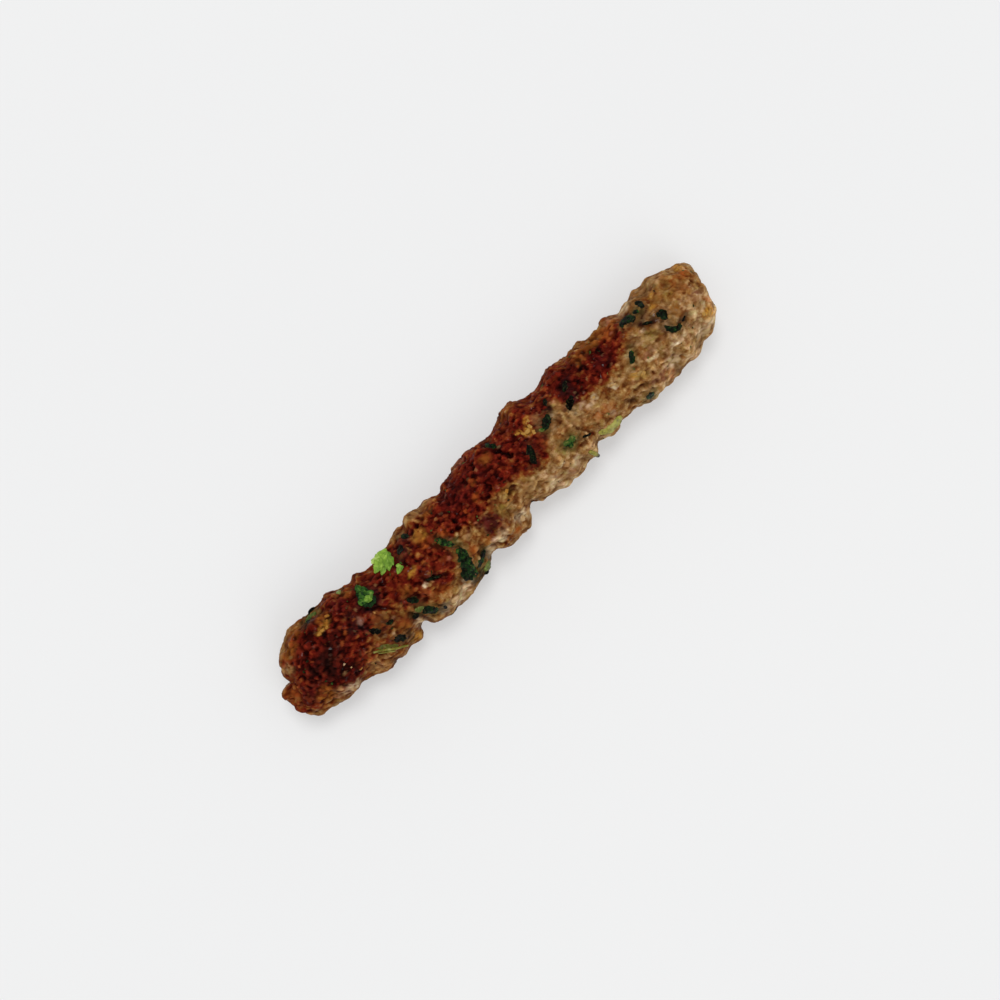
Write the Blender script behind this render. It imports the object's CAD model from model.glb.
"""Kofta kebab: the looks of one grilled roll of herbed mince, lying on a pale floor.

Lengths are in millimetres until a mesh is made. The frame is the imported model's: +X along
the roll towards its rounded end, +Y across it, +Z up. Places named by x and y are where a
feature shows when the roll is looked at from straight above; they are dropped from the eye
onto the surface.
"""

import math

import bmesh
import bpy
import numpy as np
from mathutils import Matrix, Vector
from mathutils.bvhtree import BVHTree


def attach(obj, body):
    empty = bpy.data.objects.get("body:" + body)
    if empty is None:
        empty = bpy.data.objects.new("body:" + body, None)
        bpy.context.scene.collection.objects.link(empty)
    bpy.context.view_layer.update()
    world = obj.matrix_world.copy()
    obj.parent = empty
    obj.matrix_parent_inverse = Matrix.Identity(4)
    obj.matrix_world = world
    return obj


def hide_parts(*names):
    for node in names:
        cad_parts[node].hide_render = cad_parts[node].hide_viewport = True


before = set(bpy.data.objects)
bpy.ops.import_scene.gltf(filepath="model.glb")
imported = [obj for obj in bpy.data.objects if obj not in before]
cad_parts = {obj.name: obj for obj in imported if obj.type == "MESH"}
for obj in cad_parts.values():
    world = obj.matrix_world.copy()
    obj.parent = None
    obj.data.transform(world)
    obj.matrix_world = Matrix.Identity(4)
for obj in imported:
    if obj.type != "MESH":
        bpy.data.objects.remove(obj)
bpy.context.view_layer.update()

MM = 0.001

# ---- the eye --------------------------------------------------------------------------
LENS, SENSOR = 80.0, 36.0
OUTLINE_Z = 11.5  # height at which the roll is widest
FRAME_WIDTH = 337.0  # what the picture spans at that height
TURN = 45.52  # degrees from the picture's horizontal to the roll
EYE_Z = OUTLINE_Z + FRAME_WIDTH * LENS / SENSOR
RIGHT = Vector((math.cos(math.radians(TURN)), -math.sin(math.radians(TURN)), 0.0))
UP = Vector((math.sin(math.radians(TURN)), math.cos(math.radians(TURN)), 0.0))
EYE = RIGHT * 0.88 - UP * 3.05 + Vector((0.0, 0.0, EYE_Z))

# ---- the skin's grid --------------------------------------------------------------------
RINGS, COLUMNS = 432, 229
CAP_X, CAP_RADIUS = 87.0, 13.0  # where the rounded ends start, and how round they are
AXIS_Z = 12.2
FLOOR_GAP = 0.02

SEED = 20


# =========================================================================================
# numbers: colours, noise and small grid tools
# =========================================================================================
def srgb(r, g, b):
    """Linear colour of an 8-bit display colour."""
    out = []
    for c in (r, g, b):
        c = c / 255.0
        out.append(c / 12.92 if c <= 0.04045 else ((c + 0.055) / 1.055) ** 2.4)
    return tuple(out)


def smooth(a, b, x):
    t = np.clip((x - a) / (b - a), 0.0, 1.0)
    return t * t * (3.0 - 2.0 * t)


def scramble(ix, iy, iz, seed):
    """A repeatable 32-bit hash of whole-number cells."""
    with np.errstate(over="ignore"):
        h = (
            ix.astype(np.uint32) * np.uint32(374761393)
            + iy.astype(np.uint32) * np.uint32(668265263)
            + iz.astype(np.uint32) * np.uint32(2246822519)
            + np.uint32((seed * 3266489917) & 0xFFFFFFFF)
        )
        h = (h ^ (h >> np.uint32(15))) * np.uint32(2246822519)
        h = (h ^ (h >> np.uint32(13))) * np.uint32(3266489917)
        return h ^ (h >> np.uint32(16))


def noise3(p, seed=0):
    """Gradient noise, about -1 to 1, at points p whose last axis is x, y, z."""
    p = np.asarray(p, float)
    cell = np.floor(p).astype(np.int64)
    f = p - cell
    w = f * f * f * (f * (f * 6.0 - 15.0) + 10.0)
    total = np.zeros(p.shape[:-1])
    for dx in (0, 1):
        for dy in (0, 1):
            for dz in (0, 1):
                h = scramble(cell[..., 0] + dx, cell[..., 1] + dy, cell[..., 2] + dz, seed)
                z = (h & np.uint32(0xFFFF)).astype(float) / 32767.5 - 1.0
                a = (h >> np.uint32(16)).astype(float) * (2.0 * math.pi / 65536.0)
                r = np.sqrt(np.maximum(0.0, 1.0 - z * z))
                dot = (
                    r * np.cos(a) * (f[..., 0] - dx)
                    + r * np.sin(a) * (f[..., 1] - dy)
                    + z * (f[..., 2] - dz)
                )
                wx = w[..., 0] if dx else 1.0 - w[..., 0]
                wy = w[..., 1] if dy else 1.0 - w[..., 1]
                wz = w[..., 2] if dz else 1.0 - w[..., 2]
                total += dot * wx * wy * wz
    return total * 1.7


def fractal(p, octaves=3, seed=0, gain=0.5):
    total, weight, size = 0.0, 1.0, 1.0
    for k in range(octaves):
        total = total + weight * noise3(p * size, seed + 17 * k)
        weight *= gain
        size *= 2.03
    return total


def blur(field, rounds=1, weight=0.5):
    """Smooths a field on the skin grid: it wraps round the roll and stops at the ends."""
    for _ in range(rounds):
        across = (np.roll(field, 1, 1) + np.roll(field, -1, 1)) / 2.0
        before = np.concatenate([field[:1], field[:-1]], 0)
        after = np.concatenate([field[1:], field[-1:]], 0)
        along = (before + after) / 2.0
        field = field * (1.0 - weight) + (across + along) * (weight / 2.0)
    return field


def swell_out(field):
    """The highest value of each place and its neighbours."""
    wide = np.maximum(field, np.maximum(np.roll(field, 1, 1), np.roll(field, -1, 1)))
    before = np.concatenate([wide[:1], wide[:-1]], 0)
    after = np.concatenate([wide[1:], wide[-1:]], 0)
    return np.maximum(wide, np.maximum(before, after))


def grid_normals(points):
    """Outward unit normals of the skin grid."""
    along = np.empty_like(points)
    along[1:-1] = points[2:] - points[:-2]
    along[0] = points[1] - points[0]
    along[-1] = points[-1] - points[-2]
    across = np.roll(points, -1, 1) - np.roll(points, 1, 1)
    normal = np.cross(across, along)
    size = np.linalg.norm(normal, axis=-1, keepdims=True)
    return normal / np.maximum(size, 1e-12)


def grid_faces():
    index = np.arange(RINGS * COLUMNS).reshape(RINGS, COLUMNS)
    nxt = np.roll(index, -1, 1)
    return np.stack([index[:-1], nxt[:-1], nxt[1:], index[1:]], -1).reshape(-1, 4)


def pick_places(points, count, rng):
    """Random grid places, evenly spread over the skin's area."""
    along = np.linalg.norm(np.gradient(points, axis=0), axis=-1)
    across = np.linalg.norm(np.roll(points, -1, 1) - points, axis=-1)
    area = (along * across).ravel()
    chosen = rng.choice(area.size, size=count, p=area / area.sum())
    return np.unravel_index(chosen, along.shape)


def seen_from_above(points):
    """Each point's place on the outline's level, as the eye sees it."""
    eye = np.array(EYE)
    share = (EYE_Z - OUTLINE_Z) / (EYE_Z - points[..., 2])
    return eye[:2] + (points[..., :2] - eye[:2]) * share[..., None]


# =========================================================================================
# the roll's bare skin, sampled from the CAD solid
# =========================================================================================
def sample_skin():
    """Casts a ray at the solid from outside for each place of a capsule-shaped grid."""
    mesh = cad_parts["kofta"].data
    corners = [v.co / MM for v in mesh.vertices]
    tree = BVHTree.FromPolygons(corners, [tuple(p.vertices) for p in mesh.polygons])
    # sideways middle of the roll along x
    xs = np.linspace(-CAP_X, CAP_X, 59)
    mids = []
    for x in xs:
        left = tree.ray_cast(Vector((x, 60.0, AXIS_Z)), Vector((0, -1, 0)))[0]
        right = tree.ray_cast(Vector((x, -60.0, AXIS_Z)), Vector((0, 1, 0)))[0]
        mids.append((left.y + right.y) / 2.0)
    mids = np.convolve(np.pad(mids, 4, "edge"), np.ones(9) / 9.0, "valid")

    cap = CAP_RADIUS * math.pi / 2.0
    total = 2.0 * cap + 2.0 * CAP_X
    centres = np.zeros((RINGS, COLUMNS, 3))
    rays = np.zeros((RINGS, COLUMNS, 3))
    phi = -math.pi / 2.0 + 2.0 * math.pi * np.arange(COLUMNS) / COLUMNS
    ring = np.stack([np.zeros(COLUMNS), np.cos(phi), np.sin(phi)], -1)
    for i, l in enumerate((np.arange(RINGS) + 0.5) / RINGS * total):
        if l < cap:
            turn, x, end = l / CAP_RADIUS, -CAP_X, -1.0
        elif l > total - cap:
            turn, x, end = (total - l) / CAP_RADIUS, CAP_X, 1.0
        else:
            turn, x, end = math.pi / 2.0, l - cap - CAP_X, 0.0
        centres[i] = (x, np.interp(x, xs, mids), AXIS_Z)
        rays[i] = ring * math.sin(turn)
        rays[i, :, 0] += end * math.cos(turn)
    reach = np.zeros((RINGS, COLUMNS))
    for i in range(RINGS):
        for j in range(COLUMNS):
            c, d = Vector(centres[i, j]), Vector(rays[i, j])
            hit = tree.ray_cast(c + d * 60.0, -d)[0]
            reach[i, j] = (hit - c).length if hit else 10.0
    reach = blur(reach, 5, 0.6)
    return centres + rays * reach[..., None]


# =========================================================================================
# the mince: granules, strands, pits and cracks
# =========================================================================================
# how many, half length, half width, height: clods first, then strands, then granules
MINCE = [
    (1000, (1.4, 2.2), (1.1, 1.6), (0.45, 0.85)),
    (1500, (1.5, 2.8), (0.38, 0.66), (0.45, 0.80)),
    (7500, (0.85, 1.4), (0.65, 1.0), (0.42, 0.80)),
    (8500, (0.55, 0.9), (0.45, 0.72), (0.35, 0.74)),
]

# share, and how its colour differs from the meat around it
GRANULES = [
    (0.34, (1.00, 1.00, 1.00)),
    (0.17, (0.92, 0.70, 0.72)),  # lean, redder
    (0.15, (1.22, 1.04, 0.78)),  # rusty, golden with spice
    (0.11, (0.92, 1.05, 0.66)),  # olive, soaked with herb juice
    (0.10, (1.20, 1.02, 1.15)),  # pinkish
    (0.07, (1.45, 1.50, 1.55)),  # fat
    (0.06, (0.55, 0.46, 0.46)),  # burnt
]

# Granules in the browned face that took another colour: what, and between which shares.
FLECKS = [
    ("pink", 0.00, 0.02),
    ("tan", 0.03, 0.06),
    ("ink", 0.06, 0.13),
    ("orange", 0.13, 0.16),
]

# Cracks between clods: the places they run through, half width and depth.
CRACKS = [
    ([(-42.0, -2.4), (-38.4, -4.0), (-35.4, -5.6), (-32.0, -7.6)], 0.7, 0.9),
    ([(-41.6, -2.6), (-38.2, -3.9), (-35.2, -5.5), (-31.8, -7.6)], 0.8, 0.8),
    ([(-14.2, -12.0), (-12.4, -13.0), (-10.4, -14.6)], 0.8, 1.2),
    ([(9.0, 10.2), (10.6, 7.6), (11.6, 5.0)], 0.8, 0.8),
    ([(30.8, -9.6), (32.2, -11.0), (33.6, -8.4)], 0.5, 0.7),
    ([(34.0, -4.2), (35.4, -6.8), (36.6, -9.8)], 0.5, 0.7),
    ([(56.8, -9.6), (60.4, -10.6), (64.2, -12.4)], 0.8, 0.9),
    ([(52.2, -10.0), (54.4, -12.0)], 0.8, 0.8),
    ([(-84.0, 8.0), (-87.0, 4.0), (-86.6, -1.0)], 0.8, 0.6),
    ([(-60.0, 4.0), (-56.0, 1.0), (-52.0, -4.0)], 0.7, 0.6),
    ([(-50.4, -8.0), (-48.0, -11.6), (-47.0, -14.6)], 0.8, 0.9),
    ([(90.2, 0.8), (93.2, 2.8), (96.6, 2.6)], 0.6, 0.7),
    ([(73.6, 4.6), (77.4, 2.4)], 0.6, 0.6),
    ([(-20.6, 1.4), (-17.6, 0.2)], 0.7, 0.7),
    ([(2.6, -3.6), (5.0, -3.0)], 0.8, 0.7),
]


def lay_granules(points, normals, rng):
    """Lays mince over the skin; each place keeps the granule that stands highest.

    Returns the height over the bare skin, and for each place its granule's number.
    """
    height = np.zeros((RINGS, COLUMNS))
    owner = np.zeros((RINGS, COLUMNS), int)
    ring_step = 0.5
    col_step = np.linalg.norm(np.roll(points, -1, 1) - points, axis=-1).mean(1)
    number = 0
    for count, long_mm, wide_mm, tall_mm in MINCE:
        rows, cols = pick_places(points, count, rng)
        for i, j in zip(rows, cols):
            number += 1
            a = rng.uniform(*long_mm)
            b = min(a, rng.uniform(*wide_mm))
            tall = rng.uniform(*tall_mm)
            base = rng.uniform(-0.12, 0.12)
            # strands run along the roll more than across it
            spin = rng.normal(0.0, 0.9) if a > 2.4 * b else rng.uniform(0.0, math.pi)
            lean = rng.uniform(-0.35, 0.35, 2) * tall
            di = int(a / ring_step) + 1
            dj = min(COLUMNS // 2 - 1, int(a / max(col_step[i], 0.02)) + 1)
            window = np.ix_(
                np.arange(max(0, i - di), min(RINGS, i + di + 1)),
                np.arange(j - dj, j + dj + 1) % COLUMNS,
            )
            local = points[window] - points[i, j]
            n = normals[i, j]
            t = np.cross(n, (0.0, 0.0, 1.0) if abs(n[2]) < 0.9 else (0.0, 1.0, 0.0))
            t /= np.linalg.norm(t)
            s = np.cross(n, t)
            u = local @ (t * math.cos(spin) + s * math.sin(spin)) / a
            v = local @ (s * math.cos(spin) - t * math.sin(spin)) / b
            q = 1.0 - np.abs(u) ** 2.3 - np.abs(v) ** 2.3
            lift = base + tall * np.sqrt(np.maximum(q, 0.0)) + lean[0] * u + lean[1] * v
            wins = (q > 0.0) & (lift > height[window])
            height[window] = np.where(wins, lift, height[window])
            owner[window] = np.where(wins, number, owner[window])
    return height, owner, number


def press_pits(points, rng, count=420):
    """Small holes between the granules."""
    depth = np.zeros((RINGS, COLUMNS))
    rows, cols = pick_places(points, count, rng)
    for i, j in zip(rows, cols):
        radius = rng.uniform(0.45, 1.1)
        deep = rng.uniform(0.3, 0.9)
        part = slice(max(0, i - 5), i + 6)
        d = np.linalg.norm(points[part] - points[i, j], axis=-1)
        depth[part] = np.maximum(depth[part], deep * np.exp(-1.6 * (d / radius) ** 2))
    return depth


# Ridges of fibrous meat on the pale flank: where they run, half width and height.
FIBRES = [
    ([(65.4, -4.2), (68.6, -5.7), (71.4, -5.2), (73.6, -7.0), (75.6, -7.2)], 0.42, 0.45),
    ([(75.8, -7.9), (78.6, -8.8), (81.6, -8.1), (83.0, -6.9)], 0.42, 0.45),
    ([(69.4, -8.9), (72.2, -9.9), (74.6, -9.2)], 0.36, 0.40),
    ([(61.6, -8.6), (63.6, -6.7), (66.0, -7.3)], 0.36, 0.40),
    ([(56.8, -5.2), (60.0, -4.4), (63.2, -5.6)], 0.34, 0.35),
    ([(25.8, -8.0), (27.6, -10.2), (29.6, -10.6)], 0.36, 0.45),
    ([(29.4, -11.0), (31.4, -8.2), (31.0, -6.2)], 0.34, 0.40),
    ([(33.4, -10.2), (34.6, -7.6), (36.0, -8.8)], 0.34, 0.40),
    ([(31.8, 6.0), (33.4, 3.4), (36.2, 0.6)], 0.40, 0.45),
    ([(34.6, 6.6), (36.0, 4.0), (36.2, 1.8)], 0.34, 0.40),
    ([(28.2, -2.2), (31.0, -1.4), (33.6, -2.6)], 0.34, 0.40),
    ([(38.4, -3.6), (41.6, -3.0), (44.2, -4.4)], 0.34, 0.35),
    ([(8.6, -8.4), (11.8, -7.2), (14.6, -8.2)], 0.34, 0.35),
    ([(-21.6, -2.2), (-19.6, -3.8), (-16.8, -3.6)], 0.40, 0.45),
    ([(-14.6, -10.4), (-11.4, -11.0), (-8.4, -13.4)], 0.36, 0.45),
    ([(-7.4, -11.6), (-4.4, -10.4), (-1.6, -9.4)], 0.36, 0.40),
    ([(-36.4, -13.4), (-32.6, -14.2), (-29.4, -13.0)], 0.40, 0.45),
    ([(-84.6, -9.4), (-80.6, -10.6), (-76.0, -10.0)], 0.36, 0.40),
    ([(-68.2, -9.6), (-66.6, -12.4), (-63.6, -13.8)], 0.36, 0.40),
    ([(84.0, 1.6), (87.4, 2.8), (90.6, 2.2)], 0.34, 0.35),
    ([(82.6, -10.8), (86.2, -10.6), (89.0, -9.0)], 0.34, 0.35),
]


def raise_fibres(points, normals, view):
    """How high the fibrous ridges stand."""
    ridge = np.zeros((RINGS, COLUMNS))
    ragged = 0.50 * noise3(points / 1.1, SEED + 62)
    top = smooth(-0.05, 0.15, normals[..., 2])
    for path, half, tall in FIBRES:
        d = distance_to_path(view, path) + ragged
        ridge = np.maximum(ridge, tall * smooth(half * 1.7, 0.0, d) * top)
    return ridge


def distance_to_path(view, path):
    """Distance in plan from each place to a line of points."""
    best = np.full(view.shape[:-1], 1e9)
    for (x0, y0), (x1, y1) in zip(path[:-1], path[1:]):
        d = np.array((x1 - x0, y1 - y0))
        t = ((view - (x0, y0)) @ d) / max(float(d @ d), 1e-9)
        near = np.array((x0, y0)) + np.clip(t, 0.0, 1.0)[..., None] * d
        best = np.minimum(best, np.linalg.norm(view - near, axis=-1))
    return best


def open_cracks(points, normals, view, rng):
    """Cracks seen from above, and a few like them where the roll is hidden."""
    depth = np.zeros((RINGS, COLUMNS))
    ragged = 0.45 * noise3(points / 1.1, SEED + 61)
    top = smooth(-0.05, 0.15, normals[..., 2])
    for path, half, deep in CRACKS:
        d = distance_to_path(view, path) + ragged
        depth = np.maximum(depth, deep * smooth(half * 1.6, 0.0, d) * top)
    rows, cols = pick_places(points, 46, rng)
    for i, j in zip(rows, cols):
        half, deep = rng.uniform(0.4, 0.8), rng.uniform(0.5, 1.0)
        spin, length = rng.uniform(0.0, math.pi), rng.uniform(2.0, 4.0)
        if normals[i, j, 2] > 0.0:
            continue
        n = normals[i, j]
        t = np.cross(n, (1.0, 0.0, 0.0) if abs(n[0]) < 0.9 else (0.0, 1.0, 0.0))
        t /= np.linalg.norm(t)
        d = t * math.cos(spin) + np.cross(n, t) * math.sin(spin)
        part = slice(max(0, i - 14), i + 15)
        local = points[part] - points[i, j]
        run = np.clip(local @ d, -length, length)
        off = np.linalg.norm(local - run[..., None] * d, axis=-1) + ragged[part]
        depth[part] = np.maximum(depth[part], deep * smooth(half * 1.6, 0.0, off))
    return depth


# =========================================================================================
# where the roll is browned
# =========================================================================================
# Along the roll: x, y where the browned face gives way to the flank, half the width of that
# change, how dark the face is, and how dark the flank is beside it.
BROWNING = [
    (-98.0, -10.0, 3.0, 0.56, 0.40),
    (-91.0, -8.5, 2.4, 0.68, 0.44),
    (-84.0, -9.6, 2.0, 0.85, 0.42),
    (-75.0, -9.8, 2.0, 0.80, 0.46),
    (-68.0, -6.0, 3.0, 0.74, 0.52),
    (-61.0, 0.5, 2.6, 0.72, 0.50),
    (-53.0, -0.5, 3.0, 0.70, 0.50),
    (-44.0, -6.0, 4.5, 0.69, 0.52),
    (-34.0, -11.6, 2.4, 0.67, 0.38),
    (-27.0, -6.0, 3.0, 0.69, 0.42),
    (-20.0, 0.5, 2.4, 0.74, 0.46),
    (-13.0, -0.8, 2.6, 0.75, 0.47),
    (-6.0, -0.4, 3.4, 0.77, 0.46),
    (1.0, 0.4, 3.4, 0.78, 0.42),
    (8.0, -1.6, 2.8, 0.74, 0.38),
    (14.0, -4.0, 2.0, 0.72, 0.31),
    (20.0, -4.2, 2.0, 0.72, 0.31),
    (25.0, 2.0, 2.6, 0.70, 0.34),
    (31.0, 7.5, 2.2, 0.68, 0.36),
    (36.0, 7.0, 2.2, 0.70, 0.36),
    (40.0, 1.6, 2.0, 0.79, 0.34),
    (50.0, 0.2, 2.4, 0.76, 0.41),
    (58.0, 0.4, 2.2, 0.79, 0.37),
    (64.0, 3.4, 2.6, 0.64, 0.35),
    (69.0, 7.0, 3.4, 0.54, 0.37),
    (77.0, 8.6, 4.5, 0.45, 0.34),
    (88.0, 4.0, 5.0, 0.42, 0.30),
    (98.0, 1.0, 5.0, 0.42, 0.31),
]


# How tanned the flank behind the browned face is: x, amount.
BACK_TAN = [
    (-98.0, 0.46),
    (-86.0, 0.40),
    (-74.0, 0.46),
    (-64.0, 0.66),
    (-48.0, 0.60),
    (-36.0, 0.42),
    (-24.0, 0.46),
    (-14.0, 0.64),
    (-4.0, 0.70),
    (12.0, 0.66),
    (24.0, 0.62),
    (34.0, 0.68),
    (44.0, 0.62),
    (53.0, 0.50),
    (66.0, 0.50),
    (80.0, 0.37),
    (98.0, 0.35),
]


def browning(view, points):
    """How browned each place is, 0 pale to 1 charred."""
    rows = np.array(BROWNING)
    edge, soft, face, flank = (
        np.interp(view[..., 0], rows[:, 0], rows[:, k]) for k in (1, 2, 3, 4)
    )
    wander = 1.5 * fractal(points / 4.2, 2, SEED + 1) + 1.3 * noise3(points / 1.7, SEED + 6)
    share = smooth(-1.0, 1.0, (view[..., 1] - edge + wander) / soft)
    flank = flank + 0.09 * fractal(points / 4.5, 2, SEED + 2)
    face = face + 0.07 * fractal(points / 5.0, 2, SEED + 7)
    face = face + 0.05 * fractal(points / 2.4, 2, SEED + 8)
    top = flank + (face - flank) * share
    # round the back it fades to a tanned flank, and underneath is a second browned face
    angle = np.degrees(np.arctan2(points[..., 2] - AXIS_Z, points[..., 1]))
    angle = angle + 7.0 * fractal(points / 6.0, 2, SEED + 3)
    back = smooth(36.0, 10.0, angle) * (angle > -90.0)
    under = np.where(
        angle > -90.0, smooth(-54.0, -78.0, angle), smooth(-128.0, -104.0, angle)
    )
    under = under * (angle < 0.0) * (1.0 - 0.8 * smooth(82.0, 95.0, abs(points[..., 0])))
    tanned = np.interp(view[..., 0], *np.array(BACK_TAN).T)
    tanned = tanned + 0.09 * fractal(points / 5.0, 3, SEED + 4)
    below = 0.66 + 0.10 * fractal(points / 10.0, 3, SEED + 5)
    value = top + (tanned - top) * back * 0.85
    # the steep sides get less heat than the top
    reach = np.maximum(abs(points[..., 1]).max(1, keepdims=True), 1.0)
    value = value - 0.06 * smooth(0.60, 0.96, abs(points[..., 1]) / reach)
    return value + (below - value) * under


# =========================================================================================
# patches of other colours
# =========================================================================================
PALETTE = {
    "char": srgb(30, 11, 8),
    "ink": srgb(20, 13, 17),
    "maroon": srgb(62, 12, 14),
    "red": srgb(98, 30, 16),
    "russet": srgb(112, 48, 24),
    "orange": srgb(146, 72, 26),
    "ochre": srgb(126, 76, 26),
    "gold": srgb(190, 138, 52),
    "cream": srgb(206, 184, 148),
    "tan": srgb(152, 120, 76),
    "pink": srgb(150, 104, 84),
    "olive": srgb(118, 98, 44),
    "brown": srgb(84, 46, 22),
    "moss": srgb(66, 62, 30),
    "leaf": srgb(112, 116, 56),
}

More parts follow.
